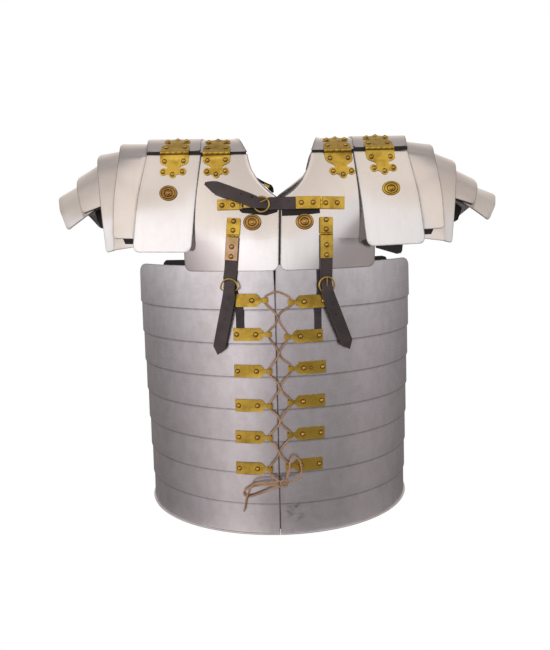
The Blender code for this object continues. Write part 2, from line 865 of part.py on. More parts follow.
def make_guard_top(side):
    rows = []
    for y, inset in crest_rows():
        inner, outer = guard_top_edges(y)
        lean = side * SHOULDER_STATIONS[1]["sag"]
        row = []
        for j in range(5):
            share = j / 4
            x = SHOULDER_SHIFT + side * between(inner + inset, outer - inset, share)
            z = crest_at(side, abs(y)) + GUARD_RISE - lean * share * (1 - abs(y) / HINGE_Y)
            row.append(Vector((x, y, z)))
        rows.append(row)
    return wall(f"guard_top_{side_name(side)}", rows, PLATE, "steel", Vector((0.1 * side, 0, -0.1)))


# Brass hinges


def leaf_outline(half, length, waist, lobe):
    """Half of a hinge: a leaf that narrows to a waist and ends in three lobes, seen flat.
    The knuckle lies on the x axis and the leaf runs down y."""
    outline = [(-half, 0.0), (-half, -0.22 * length), (-half * 0.86, -0.33 * length)]
    outline.append((-half * waist, -0.50 * length))
    centres = ((-half * 0.69, -0.70 * length), (0.0, -0.83 * length), (half * 0.69, -0.70 * length))
    sweeps = ((75, 310), (195, 345), (230, 465))
    for (cx, cy), (start, end) in zip(centres, sweeps):
        for k in range(6):
            angle = math.radians(between(start, end, k / 5))
            outline.append((cx + lobe * math.cos(angle), cy + lobe * math.sin(angle)))
    for x, y in reversed(outline[:4]):
        outline.append((-x, y))
    return outline


def make_lobed_hinge(side, hinge):
    """A lobed hinge bridging two plates: two leaves and the knuckle between them."""
    name = f"{hinge['name']}_{side_name(side)}"
    middle = SHOULDER_SHIFT + side * hinge["reach"]
    rise = 2.2 * SEAM
    lift = hinge["lift"]
    drop, lean = hinge[side_name(side)]["drop"], hinge[side_name(side)]["lean"]
    centre = Vector((middle, -HINGE_Y - lift - 0.0022, HINGE_Z + lift))

    def in_knuckle(x, out):
        return centre + Vector((x, rise + 0.5 * LEAF - out, 0))

    def lower(x, down, out):
        if down == 0:
            return in_knuckle(x, out)
        across = middle + x + side * lean * down / drop
        if lift > 0:
            return guard_front_at(side, across, HINGE_Z - 0.004 - down, out)
        return chest_point(across, HINGE_Z - 0.0035 - down, out)

    def upper(x, up, out):
        if up == 0:
            return in_knuckle(x, out)
        ahead = HINGE_Y - 0.0035 - up * 0.87
        return Vector((middle + x, -ahead - 0.4 * out, crest_at(side, ahead) + lift + out))

    flat_low = leaf_outline(hinge["half"], drop, LEAF_WAIST, LOBE)
    low = prism(
        f"{name}_lower_leaf",
        [lower(x, -y, rise) for x, y in flat_low],
        [lower(x, -y, rise + LEAF) for x, y in flat_low],
        "brass",
    )
    flat_up = leaf_outline(hinge["half"], LEAF_LENGTH, LEAF_WAIST, LOBE)
    high = prism(
        f"{name}_upper_leaf",
        [upper(x, -y, rise) for x, y in flat_up],
        [upper(x, -y, rise + LEAF) for x, y in flat_up],
        "brass",
    )
    reach = Vector((hinge["half"] - 0.0002, 0, 0))
    knuckle = rod(name, centre - reach, centre + reach, KNUCKLE_RADIUS, "brass")
    join_to(knuckle, low)
    join_to(knuckle, high)
    return knuckle


# Straps and buckles


def laid(x, z, out, half, thickness, facing=-1):
    """A strap station on the chest plates, or below them on their round run straight down."""
    level = max(z, BREAST_HEM)
    step = 0.001
    point = chest_point(x, level, 0.0, facing)
    over = chest_point(x + step, level, 0.0, facing) - chest_point(x - step, level, 0.0, facing)
    rise = Vector((0, 0, 1))
    if z > BREAST_HEM + 2 * step:
        rise = chest_point(x, z + step, 0.0, facing) - chest_point(x, z - step, 0.0, facing)
    outward = over.cross(rise).normalized() * -facing
    point.z = z
    return point + outward * out, half, thickness, outward


def strap_layers():
    """How far out the strap, the buckle's wire and the free end lie where they cross."""
    strap_out = 2 * SEAM
    wire_out = strap_out + LEATHER + SEAM + WIRE
    tail_out = wire_out + WIRE + SEAM
    return strap_out, wire_out, tail_out


def make_girdle_strap(strap):
    """Strap from a hinged leaf on the breastplate down through its buckle to the free end."""
    top_x, top_z = strap["top"]
    ring_x, ring_z = strap["ring"]
    radius = strap["radius"]
    tip_x, tip_z = strap["tip"]
    strap_out, _, tail_out = strap_layers()
    leaf_out = 1.5 * SEAM
    doubled = LEAF + LEATHER

    def at(z, out, thickness):
        x = between(top_x, ring_x, (top_z - z) / (top_z - ring_z))
        return laid(x, z, out, STRAP_HALF, thickness)

    stations = [
        at(top_z, leaf_out, LEAF),
        at(between(top_z, STRAP_FOLD, 0.45), leaf_out, LEAF),
        at(STRAP_FOLD + 0.0025, leaf_out, LEAF),
        at(STRAP_FOLD + 0.0020, leaf_out, doubled),
        at(STRAP_FOLD - 0.0020, leaf_out, doubled),
        at(between(STRAP_FOLD, STRAP_LEAF_END, 0.5), strap_out, doubled),
        at(STRAP_LEAF_END, strap_out, doubled),
        at(STRAP_LEAF_END - 0.0010, strap_out, LEATHER),
        at(BREAST_HEM + 0.0030, strap_out, LEATHER),
        laid(ring_x, ring_z + radius, strap_out, STRAP_HALF, LEATHER),
        laid(ring_x, ring_z + RING_PASS, strap_out, RING_WAIST, LEATHER),
        laid(ring_x, ring_z, between(strap_out, tail_out, 0.5), RING_WAIST, LEATHER),
        laid(ring_x, ring_z - RING_PASS, tail_out, RING_WAIST, LEATHER),
        laid(ring_x, ring_z - radius + 0.0010, tail_out, STRAP_HALF, LEATHER),
    ]
    start_z = ring_z - radius
    for share, wide in ((0.10, 1.0), (0.30, 1.0), (0.55, 1.0), (0.80, 1.0), (0.90, 0.68), (1.0, 0.08)):
        x, z = between(ring_x, tip_x, share), between(start_z, tip_z, share)
        out = between(tail_out, 4 * SEAM, share)
        stations.append(laid(x, z, out, STRAP_HALF * wide, LEATHER))
    return band(f"girdle_strap_{strap['side']}", stations, "leather")


def make_girdle_buckle(strap):
    """A wire ring with the leaf that holds it to the top hoop, under the first tie."""
    x, z = strap["ring"]
    radius = strap["radius"]
    name = f"girdle_buckle_{strap['side']}"
    _, wire_out, _ = strap_layers()
    centre, _, _, outward = laid(x, z, wire_out, 0, 0)
    hoop = ring(name, centre, radius, WIRE, outward, "brass")
    bar_z = z - radius
    half = 0.68 * STRAP_HALF
    hem_gap = PLATE + 2.5 * SEAM  # from the girdle's base surface to the breastplate's
    wrap = hem_gap + wire_out - flare_at(bar_z) - SEAM
    stations = []
    for height, thickness in (
        (bar_z + 0.0018, wrap),
        (bar_z - 0.0008, wrap),
        (bar_z - 0.0009, LEAF),
        (bar_z - 0.0045, LEAF),
        (bar_z - 0.0085, LEAF),
    ):
        stations.append((girdle_front(x, height, flare_at(height) + SEAM), half, thickness, outward))
    leaf = band(f"{name}_leaf", stations, "brass")
    join_to(hoop, leaf)
    return hoop


def make_chest_strap():
    """Strap from a hinged leaf on the right breastplate through the buckle to its free end."""
    strap_out, _, tail_out = strap_layers()
    doubled = LEAF + LEATHER
    half = 0.94 * STRAP_HALF
    z = CHEST_STRAP_Z
    right, hinge, leaf_end, ring_x = CHEST_STRAP_RIGHT, CHEST_STRAP_HINGE, CHEST_STRAP_LEAF_END, CHEST_RING_X
    rows = [
        (right, z - 0.001, strap_out, 1.0, LEAF),
        (between(right, hinge, 0.5), z - 0.0005, strap_out, 1.0, LEAF),
        (hinge + 0.0025, z, strap_out, 1.0, LEAF),
        (hinge + 0.0020, z, strap_out, 1.0, doubled),
        (hinge - 0.0020, z, strap_out, 1.0, doubled),
        (between(hinge, leaf_end, 0.5), z, strap_out, 1.0, doubled),
        (leaf_end, z, strap_out, 1.0, doubled),
        (leaf_end - 0.001, z, strap_out, 1.0, LEATHER),
        (between(leaf_end, ring_x, 0.40), z, strap_out, 1.0, LEATHER),
        (ring_x + CHEST_RING_RADIUS, z, strap_out, 1.0, LEATHER),
        (ring_x + RING_PASS, z, strap_out, 0.82, LEATHER),
        (ring_x, z, between(strap_out, tail_out, 0.5), 0.79, LEATHER),
        (ring_x - RING_PASS, z, tail_out, 0.82, LEATHER),
        (ring_x - CHEST_RING_RADIUS + 0.0010, z + 0.0015, tail_out, 1.0, LEATHER),
    ]
    tip_x, tip_z = CHEST_STRAP_TIP
    start_x, start_z = ring_x - CHEST_RING_RADIUS, z + 0.0025
    for share, wide, rise in ((0.15, 1.0, 0), (0.4, 1.0, 0), (0.66, 1.0, 0), (0.84, 0.85, 0.0005), (1.0, 0.1, 0.002)):
        x, height = between(start_x, tip_x, share), between(start_z, tip_z, share) + rise
        rows.append((x, height, tail_out + 0.001 * share, wide, LEATHER))
    stations = [laid(x, height, out, half * wide, thick) for x, height, out, wide, thick in rows]
    return band("chest_strap", stations, "leather")


def make_chest_buckle():
    """A wire ring held by a hinged leaf on the left breastplate."""
    strap_out, wire_out, _ = strap_layers()
    centre, _, _, outward = laid(CHEST_RING_X, CHEST_STRAP_Z - CHEST_RING_DROP, wire_out, 0, 0)
    hoop = ring("chest_buckle", centre, CHEST_RING_RADIUS, WIRE, outward, "brass")
    left, hinge = CHEST_PLATE_LEFT, CHEST_PLATE_HINGE
    grip = CHEST_RING_X - CHEST_RING_RADIUS
    rows = (
        (left, strap_out, 0.80, LEAF),
        (between(left, hinge, 0.5), strap_out, 0.80, LEAF),
        (hinge, strap_out, 0.80, LEAF),
        (hinge + 0.0005, strap_out, 0.80, 0.0030),
        (hinge + 0.0045, strap_out, 0.80, 0.0030),
        (hinge + 0.0050, 2 * strap_out, 0.62, 0.0016),
        (grip - 0.0040, wire_out - 1.0 * WIRE, 0.62, 0.0016),
        (grip + 0.0006, wire_out - 0.9 * WIRE, 0.62, 0.0018),
    )
    stations = [laid(x, CHEST_STRAP_Z, out, STRAP_HALF * wide, thick) for x, out, wide, thick in rows]
    leaf = band("chest_buckle_leaf", stations, "brass")
    join_to(hoop, leaf)
    return hoop


def make_back_strap():
    """The plain strap that joins the backplates below the nape."""
    stations = []
    for k in range(9):
        x = SHOULDER_SHIFT + between(-0.062, 0.062, k / 8)
        stations.append(laid(x, BACK_STRAP_Z, 2 * SEAM, STRAP_HALF, LEATHER, facing=1))
    return band("back_strap", stations, "leather")


# Lace


def loop_x(side, row):
    """Where the lace crosses a tie's loop."""
    return side * (row["reach_" + side_name(side)] - TIE_SHAPE[-1]["along"] + 0.0036)


def lace_route():
    """Points of the lace, chosen by hand: (x, z, height above the hoops)."""
    over_tie = 0.0030 + 2 * SEAM + LACE_RADIUS
    under, above = 0.0018 + LACE_RADIUS, 0.0018 + 4.2 * LACE_RADIUS
    down_left, down_right = [], []
    for i, row in enumerate(TIE_ROWS):
        start_side = -1 if i % 2 == 0 else 1
        for strand, points in ((1, down_left), (-1, down_right)):
            side = strand * start_side
            x, z = loop_x(side, row), row[side_name(side)]
            points.append((x, z + 0.0058, over_tie + row["stand"]))
            points.append((x, z - 0.0058, over_tie + row["stand"]))
            if i + 1 < len(TIE_ROWS):
                after = TIE_ROWS[i + 1]
                heights = [r[name] for r in (row, after) for name in ("left", "right")]
                reaches = [loop_x(s, r) for r in (row, after) for s in (-1, 1)]
                middle, centre = sum(heights) / 4, sum(reaches) / 4
                lift = above if strand == 1 else under
                points.append((centre + side * 0.0045, middle + 0.0085, lift))
                points.append((centre - side * 0.0045, middle - 0.0085, lift))
    arc = [(-0.0070, -0.2120, over_tie), (0.0020, -0.2090, over_tie), (0.0125, -0.2125, over_tie)]
    knot_z = -0.4720
    bow_left = [
        (0.004, knot_z + 0.004, 0.0045),
        (-0.004, knot_z - 0.0005, 0.0100),
        (-0.020, knot_z - 0.003, 0.0095),
        (-0.040, knot_z - 0.006, 0.0075),
        (-0.052, knot_z - 0.012, 0.0065),
        (-0.052, knot_z - 0.020, 0.0055),
        (-0.042, knot_z - 0.021, 0.0050),
        (-0.022, knot_z - 0.014, 0.0050),
        (-0.010, knot_z - 0.009, 0.0052),
        (-0.018, knot_z - 0.013, 0.0090),
        (-0.034, knot_z - 0.019, 0.0090),
        (-0.047, knot_z - 0.027, 0.0055),
        (-0.050, knot_z - 0.038, 0.0040),
        (-0.0505, knot_z - 0.046, 0.0036),
    ]
    bow_right = [
        (-0.004, knot_z + 0.006, 0.0085),
        (0.006, knot_z + 0.001, 0.0130),
        (0.020, knot_z + 0.000, 0.0110),
        (0.031, knot_z + 0.006, 0.0085),
        (0.033, knot_z + 0.016, 0.0110),
        (0.027, knot_z + 0.024, 0.0110),
        (0.018, knot_z + 0.020, 0.0115),
        (0.010, knot_z + 0.009, 0.0125),
        (0.004, knot_z - 0.006, 0.0120),
        (0.012, knot_z - 0.014, 0.0090),
        (0.024, knot_z - 0.017, 0.0070),
    ]
    return list(reversed(bow_left)) + list(reversed(down_left)) + arc + down_right + bow_right


def make_lace():
    route = [Vector(p) for p in lace_route()]
    count = 80
    curve = bpy.data.curves.new("lace", "CURVE")
    curve.dimensions = "3D"
    curve.bevel_depth = LACE_RADIUS
    curve.bevel_resolution = 2
    curve.use_fill_caps = True
    curve.resolution_u = 1
    line = curve.splines.new("POLY")
    line.points.add(count - 1)
    for k in range(count):
        x, z, out = spline_at(route, (len(route) - 1) * k / (count - 1))
        point = girdle_front(x, z, HOOP_FLARE + out)
        line.points[k].co = (point.x, point.y, point.z, 1.0)
    curve.materials.append(finish_material("lace", "thong"))
    made = bpy.data.objects.new("lace", curve)
    bpy.context.scene.collection.objects.link(made)
    return made


def build():
    clear_scene()
    for side in (-1, 1):
        for i in range(HOOPS):
            make_hoop(side, i)
        for number, row in enumerate(TIE_ROWS, start=1):
            make_tie(side, row, number)
        make_chest_plate(f"breastplate_{side_name(side)}", side, -1, FRONT_NECK)
        make_chest_plate(f"backplate_{side_name(side)}", side, 1, BACK_NECK)
        make_mid_collar(side)
        make_guard_plate(side, -1, "guard_front")
        make_guard_plate(side, 1, "guard_back")
        make_guard_top(side)
        for lame in SHOULDER_LAMES:
            make_lame(side, lame)
        for hinge in LOBED_HINGES:
            make_lobed_hinge(side, hinge)
    for strap in GIRDLE_STRAPS:
        make_girdle_strap(strap)
        make_girdle_buckle(strap)
    make_chest_strap()
    make_chest_buckle()
    make_back_strap()
    make_lace()


build()
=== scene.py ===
import math

import bpy
from mathutils import Matrix, Vector, geometry, kdtree


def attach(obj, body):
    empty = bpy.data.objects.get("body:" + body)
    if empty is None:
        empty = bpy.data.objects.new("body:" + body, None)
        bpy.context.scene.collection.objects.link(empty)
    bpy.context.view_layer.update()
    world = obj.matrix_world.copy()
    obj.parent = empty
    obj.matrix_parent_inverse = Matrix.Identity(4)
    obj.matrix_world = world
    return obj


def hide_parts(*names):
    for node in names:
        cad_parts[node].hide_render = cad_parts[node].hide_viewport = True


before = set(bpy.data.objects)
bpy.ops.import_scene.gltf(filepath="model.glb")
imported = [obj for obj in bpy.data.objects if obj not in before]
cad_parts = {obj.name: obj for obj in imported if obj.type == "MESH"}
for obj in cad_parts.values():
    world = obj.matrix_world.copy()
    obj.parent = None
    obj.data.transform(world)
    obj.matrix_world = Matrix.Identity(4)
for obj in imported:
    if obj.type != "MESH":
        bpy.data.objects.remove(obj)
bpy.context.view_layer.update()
print("frame loaded")


# Camera

camera = {
    "place": (-0.001, -0.945, -0.1224),
    "downward": 0.168,  # radians below level
    "roll": -0.024,
    "lens": 32.97,
}


def addCamera():
    data = bpy.data.cameras.new("camera")
    data.lens = camera["lens"]
    data.sensor_width = 36
    data.clip_start = 0.05
    made = bpy.data.objects.new("camera", data)
    bpy.context.scene.collection.objects.link(made)
    made.matrix_world = (
        Matrix.Translation(camera["place"])
        @ Matrix.Rotation(math.pi / 2 - camera["downward"], 4, "X")
        @ Matrix.Rotation(camera["roll"], 4, "Z")
    )
    bpy.context.scene.camera = made


addCamera()


# Forms that the plates share with their solids

stock = {
    "plate": 0.0012,
    "leaf": 0.0011,
    "leather": 0.0022,
    "seam": 0.0004,  # room between pieces that lie on one another
    "wire": 0.0012,  # radius
    "lace": 0.0013,  # radius
}

girdle = {
    "top": -0.1745,
    "firstSeam": -0.2335,
    "lastSeam": -0.5088,
    "hem": -0.5545,
    "hoops": 8,
    "reachTop": 0.2095,
    "reachHem": 0.2040,
    "deep": 0.80,
    "lap": 0.010,
    "flare": 0.0020,
    "gap": 0.0006,
    "wedge": 0.0032,
    "wedgeEnd": -0.212,
    "scoop": 0.028,
    "armhole": (62, 95, 135, 168),  # degrees from the front: the dip starts, is full, rises, ends
}

collar = {
    "shift": 0.007,
    "hingeY": 0.1465,
    "hingeZ": -0.0300,
    "hem": -0.1825,
    "corner": 0.009,
    "crown": 0.005,
    "round": 0.25,
    "drop": 0.0027,  # how much lower the right half lies
    "guardRise": 0.0016,
    "outer": (0.1275, 0.1300),
    "meeting": (0.0025, -0.0006),
    "crest": (  # distance ahead of the shoulder's middle, height
        (0.1465, -0.0300),
        (0.1150, -0.0120),
        (0.0850, -0.0050),
        (0.0450, -0.0008),
        (0.0, 0.0),
    ),
}

# how far the breastplates' outer face stands off the girdle at their hem
plateStand = stock["plate"] + 2.5 * stock["seam"]

frontNeck = (  # distance below the hinge, reach on the left, reach on the right
    (0.0000, 0.0388, 0.0441),
    (0.0100, 0.0370, 0.0420),
    (0.0205, 0.0338, 0.0386),
    (0.0335, 0.0266, 0.0318),
    (0.0430, 0.0187, 0.0230),
    (0.0500, 0.0120, 0.0146),
    (0.0590, 0.0012, 0.0012),
)
backNeck = (
    (0.0000, 0.0530, 0.0530),
    (0.0070, 0.0445, 0.0478),
    (0.0150, 0.0360, 0.0380),
    (0.0240, 0.0265, 0.0262),
    (0.0310, 0.0190, 0.0160),
    (0.0370, 0.0125, 0.0080),
    (0.0415, 0.0075, 0.0012),
    (0.0480, 0.0012, 0.0012),
)

shoulder = {  # arches from the front hem over the crest: (reach, distance in front, height)
    "sag": (0.0, 0.0015, 0.0050, 0.0092, 0.0080, 0.0055),
    "sagShare": (0.0, 0.3, 0.6, 0.8, 1.0, 1.0),
    "arches": (
        ((0.1160, 0.1555, -0.1543), (0.1091, 0.1525, -0.0979), (0.1035, 0.1505, -0.0599),
         (0.0990, 0.1480, -0.0320), (0.1015, 0.1050, -0.0095), (0.1050, 0.0000, 0.0000)),
        ((0.1928, 0.1570, -0.1522), (0.1848, 0.1540, -0.0969), (0.1790, 0.1505, -0.0689),
         (0.1688, 0.1480, -0.0320), (0.1745, 0.1050, -0.0095), (0.1800, 0.0000, 0.0000)),
        ((0.2187, 0.1520, -0.1336), (0.2162, 0.1460, -0.0900), (0.2130, 0.1380, -0.0600),
         (0.2114, 0.1230, -0.0350), (0.2160, 0.0850, -0.0142), (0.2225, 0.0000, -0.0055)),
        ((0.2317, 0.1420, -0.1528), (0.2372, 0.1320, -0.1020), (0.2414, 0.1200, -0.0740),
         (0.2474, 0.1000, -0.0500), (0.2530, 0.0700, -0.0320), (0.2600, 0.0000, -0.0222)),
        ((0.2630, 0.1260, -0.1180), (0.2691, 0.1150, -0.1020), (0.2750, 0.1030, -0.0880),
         (0.2825, 0.0850, -0.0722), (0.2892, 0.0550, -0.0595), (0.2975, 0.0000, -0.0522)),
        ((0.3012, 0.0850, -0.1252), (0.3085, 0.0730, -0.1120), (0.3173, 0.0600, -0.1010),
         (0.3232, 0.0450, -0.0905), (0.3288, 0.0270, -0.0825), (0.3325, 0.0000, -0.0780)),
    ),
}

lames = {
    "step": 0.0020,
    "opening": 1.2,
    "span": 10,
    "pieces": (  # hems: height of the lower end at the inner and at the outer edge
        {"name": "2", "outer": 2, "lap": 0.30, "crestStep": 0.0045, "corner": 0.0050,
         "hems": (-0.1338, -0.1329), "leftLower": 0.0035},
        {"name": "3", "outer": 3, "lap": 1.00, "crestStep": 0.0095, "corner": 0.0050,
         "hems": (-0.1459, -0.1528), "leftLower": 0.0022},
        {"name": "4", "outer": 4, "lap": 0.50, "crestStep": 0.0110, "corner": 0.0050,
         "hems": (-0.0880, -0.1024), "leftLower": 0.0},
        {"name": "5", "outer": 5, "lap": 0.67, "crestStep": 0.0105, "corner": 0.0080,
         "hems": (-0.0960, -0.1252), "leftLower": 0.0},
    ),
}


def sideName(side):
    return "left" if side < 0 else "right"


def between(low, high, share):
    return low + (high - low) * share


def halfway(low, high, isLow, turns):
    # the place between low and high where isLow stops being true
    for _ in range(turns):
        middle = 0.5 * (low + high)
        if isLow(middle):
            low = middle
        else:
            high = middle
    return 0.5 * (low + high)


def splineAt(points, place):
    # a smooth curve through points, which runs on past its ends
    last = len(points) - 1
    i = min(max(int(math.floor(place)), 0), last - 1)
    t = place - i
    p1, p2 = points[i], points[i + 1]
    p0 = points[i - 1] if i > 0 else p1 * 2 - p2
    p3 = points[i + 2] if i + 2 <= last else p2 * 2 - p1
    return 0.5 * (
        p1 * 2
        + (p2 - p0) * t
        + (p0 * 2 - p1 * 5 + p2 * 4 - p3) * t * t
        + (p1 * 3 - p0 - p2 * 3 + p3) * t * t * t
    )


def readColumn(table, column, at):
    for low, high in zip(table, table[1:]):
        if at <= high[0]:
            share = (at - low[0]) / (high[0] - low[0])
            return between(low[column], high[column], max(share, 0.0))
    return table[-1][column]


def girdleReach(z):
    share = (girdle["top"] - z) / (girdle["top"] - girdle["hem"])
    return between(girdle["reachTop"], girdle["reachHem"], share)


def onGirdle(angle, z, out):
    # a point at an angle from the front, at a distance out of the hoops
    reach = girdleReach(z)
    across = (reach + out) * math.sin(angle)
    return Vector((across, -(girdle["deep"] * reach + out) * math.cos(angle), z))


def girdleFront(x, z, out):
    return onGirdle(math.asin(x / (girdleReach(z) + out)), z, out)


def hoopLimits(i):
    pitch = (girdle["firstSeam"] - girdle["lastSeam"]) / (girdle["hoops"] - 2)
    hem = girdle["firstSeam"] - i * pitch if i < girdle["hoops"] - 1 else girdle["hem"]
    top = girdle["top"] if i == 0 else girdle["firstSeam"] - (i - 1) * pitch + girdle["lap"]
    return top, hem


def flareAt(z):
    for i in range(girdle["hoops"]):
        top, hem = hoopLimits(i)
        if z >= hem:
            return girdle["flare"] * (top - z) / (top - hem)
    return girdle["flare"]


def flareBehind(low, high):
    hems = [hoopLimits(i)[1] for i in range(girdle["hoops"])]
    return max(flareAt(z) for z in [low, high] + [hem for hem in hems if low < hem < high])


def crestDrop(side, ahead):
    return collar["drop"] * (1 - min(ahead / collar["hingeY"], 1.0)) if side > 0 else 0.0


def crestAt(side, ahead):
    # the height of the shoulder plates' middle line
    points = [Vector((a, up, 0)) for a, up in collar["crest"]]
    place = halfway(0.0, float(len(points) - 1), lambda p: splineAt(points, p).x > ahead, 24)
    return splineAt(points, place).y - crestDrop(side, ahead)


def chestDepth(x, z):
    atHinge = collar["hingeY"] - collar["round"] * (x - collar["shift"]) ** 2
    wide, deep = girdle["reachTop"] + plateStand, girdle["deep"] * girdle["reachTop"] + plateStand
    atHem = deep * math.sqrt(1 - (x / wide) ** 2)
    share = (collar["hingeZ"] - z) / (collar["hingeZ"] - collar["hem"])
    crown = collar["crown"] * math.sin(math.pi * min(max(share, 0.0), 1.0))
    return between(atHinge, atHem, share) + crown


def chestPoint(x, z, out=0.0, facing=-1):
    return Vector((x, facing * (chestDepth(x, z) + out), z))


def onChest(x, z, out):
    # a point out along the plate's true normal, with that normal; straight down below the hem
    level = max(z, collar["hem"])
    step = 0.001
    over = chestPoint(x + step, level) - chestPoint(x - step, level)
    rise = Vector((0, 0, 1))
    if z > collar["hem"] + 2 * step:
        rise = chestPoint(x, z + step) - chestPoint(x, z - step)
    outward = over.cross(rise).normalized()
    point = chestPoint(x, level)
    point.z = z
    return point + outward * out, outward


def archPoints(k, side):
    front = []
    for (x, ahead, up), share in zip(shoulder["arches"][k], shoulder["sagShare"]):
        lower = side * shoulder["sag"][k] * share
        if k < 2:
            lower += crestDrop(side, ahead)
        front.append(Vector((collar["shift"] + side * x, -ahead, up - lower)))
    return front + [Vector((p.x, -p.y, p.z)) for p in reversed(front[:-1])]


def archAt(arch, cornered, along):
    if not cornered:
        return splineAt(arch, along)
    if along < 3:
        return splineAt(arch[:4], along)
    if along < 7:
        return splineAt(arch[3:8], along - 3)
    return splineAt(arch[7:], along - 7)


class Shoulder:
    def __init__(self, side):
        self.arches = [archPoints(k, side) for k in range(6)]

    def bare(self, across, along):
        i = min(max(int(math.floor(across)), 0), 4)
        low = archAt(self.arches[i], i < 2, along)
        high = archAt(self.arches[i + 1], i + 1 < 2, along)
        return between(low, high, across - i)

    def point(self, across, along, out):
        step = 0.05
        over = self.bare(across + step, along) - self.bare(across - step, along)
        length = self.bare(across, along + step) - self.bare(across, along - step)
        normal = over.cross(length).normalized()
        point = self.bare(across, along)
        if normal.dot(point - Vector((0.5 * point.x, 0, -0.2))) < 0:
            normal.negate()
        return point + normal * out

    def placeAtHeight(self, across, height):
        return halfway(-1.0, 4.5, lambda along: self.bare(across, along).z < height, 26)


shoulders = {-1: Shoulder(-1), 1: Shoulder(1)}


def guardPoint(side, across, along, out, facing=-1):
    inner = splineAt(shoulders[side].arches[0][:4], along)
    outer = splineAt(shoulders[side].arches[1][:4], along)
    point = between(inner, outer, across)
    return Vector((point.x, facing * (abs(point.y) + out), point.z))


def onGuard(side, x, z, out):
    # a point out of the front guard plate, with the plate's normal
    across, along = 0.5, 1.0
    for _ in range(5):
        along = halfway(-1.0, 3.5, lambda a: guardPoint(side, across, a, 0.0).z < z, 23)
        inner = guardPoint(side, 0.0, along, 0.0).x
        outer = guardPoint(side, 1.0, along, 0.0).x
        across = (x - inner) / (outer - inner)
    point = guardPoint(side, across, along, 0.0)
    point.x, point.z = x, z
    step = 0.05
    lower, upper = (guardPoint(side, across, along + s, 0.0) for s in (-step, step))
    rise = (upper - lower).normalized()
    ahead = Vector((0, -1, 0))
    outward = (ahead - rise * rise.dot(ahead)).normalized()
    return point + outward * out, outward


# Building blocks for meshes


def addMesh(name, points, faces, material, smooth=40, bevel=0.0, darkening=None, rim=None):
    mesh = bpy.data.meshes.new(name)
    mesh.from_pydata([tuple(p) for p in points], [], faces)
    # per point, how far towards the dark rim colour: edge wear and painted shade
    if darkening:
        layer = mesh.attributes.new("darkening", "FLOAT", "POINT")
        layer.data.foreach_set("value", darkening)
    mesh.shade_smooth()
    mesh.set_sharp_from_angle(angle=math.radians(smooth))
    mesh.materials.append(material)
    if rim:
        mesh.materials.append(rim)
    made = bpy.data.objects.new(name, mesh)
    bpy.context.scene.collection.objects.link(made)
    if bevel > 0:
        rounding = made.modifiers.new("edge", "BEVEL")
        rounding.width = bevel
        rounding.segments = 2
        rounding.limit_method = "ANGLE"
        rounding.angle_limit = math.radians(45)
        rounding.harden_normals = True
        rounding.material = 1 if rim else -1
    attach(made, "root")
    return made


def outwards(points, faces):
    volume = 0.0
    for face in faces:
        a = Vector(points[face[0]])
        for k in range(1, len(face) - 1):
            volume += a.dot(Vector(points[face[k]]).cross(Vector(points[face[k + 1]])))
    return faces if volume > 0 else [tuple(reversed(face)) for face in faces]


def rowNormal(rows, i, j):
    up, down = rows[max(i - 1, 0)][j], rows[min(i + 1, len(rows) - 1)][j]
    before, after = rows[i][max(j - 1, 0)], rows[i][min(j + 1, len(rows[i]) - 1)]
    return (down - up).cross(after - before).normalized()


def wallMesh(rows, thickness, inside):
    # a closed wall whose outer face runs through a grid of points
    high, wide = len(rows), len(rows[0])
    middle = rows[high // 2][wide // 2]
    sign = 1.0 if rowNormal(rows, high // 2, wide // 2).dot(middle - inside) > 0 else -1.0
    outer = [p for row in rows for p in row]
    inner = []
    for i in range(high):
        for j in range(wide):
            inner.append(rows[i][j] - sign * thickness * rowNormal(rows, i, j))
    count = high * wide
    faces = []
    for i in range(high - 1):
        for j in range(wide - 1):
            a, b = i * wide + j, i * wide + j + 1
            c, d = a + wide, b + wide
            faces.append((a, c, d, b))
            faces.append((a + count, b + count, d + count, c + count))
    for j in range(wide - 1):
        low = (high - 1) * wide + j
        faces.append((j, j + 1, j + 1 + count, j + count))
        faces.append((low + 1, low, low + count, low + 1 + count))
    for i in range(high - 1):
        a, b = i * wide, (i + 1) * wide
        rightA, rightB = a + wide - 1, b + wide - 1
        faces.append((b, a, a + count, b + count))
        faces.append((rightA, rightB, rightB + count, rightA + count))
    points = outer + inner
    return points, outwards(points, faces)


rimLook = {
    "steps": (0.0005, 0.0014),  # more points this far inside the rim, for the dark line on it
    "reach": 0.0015,  # width of the dark line, partly edge wear and partly painted shade
    "spacing": 0.001,
    "most": 0.8,  # share of a face that the more points may take up
}


def withNearRims(rows):
    # the same number of points in every row, so lengths are taken from the middle row
    middle = rows[len(rows) // 2]
    shares = [0.0]
    for a, b in zip(middle, middle[1:]):
        shares.append(shares[-1] + (b - a).length)
    steps, most = rimLook["steps"], rimLook["most"]
    extra = [step for step in steps if step < most * shares[1]]
    extraEnd = [step for step in steps if step < most * (shares[-1] - shares[-2])]
    wider = []
    for row in rows:
        first, last = (row[1] - row[0]).length, (row[-1] - row[-2]).length
        start = [row[0].lerp(row[1], min(step / first, 0.9)) for step in extra]
        end = [row[-1].lerp(row[-2], min(step / last, 0.9)) for step in reversed(extraEnd)]
        wider.append([row[0]] + start + row[1:-1] + end + [row[-1]])

    def rowsInside(rim, inside):
        lengths = [(b - a).length for a, b in zip(rim, inside)]
        return [
            [a.lerp(b, step / length) for a, b, length in zip(rim, inside, lengths)]
            for step in steps
            if step < most * min(lengths)
        ]

    start, end = rowsInside(wider[0], wider[1]), rowsInside(wider[-1], wider[-2])
    return [wider[0]] + start + wider[1:-1] + list(reversed(end)) + [wider[-1]]


def nearTree(points):
    tree = kdtree.KDTree(len(points))
    for k, point in enumerate(points):
        tree.insert(point, k)
    tree.balance()
    return tree


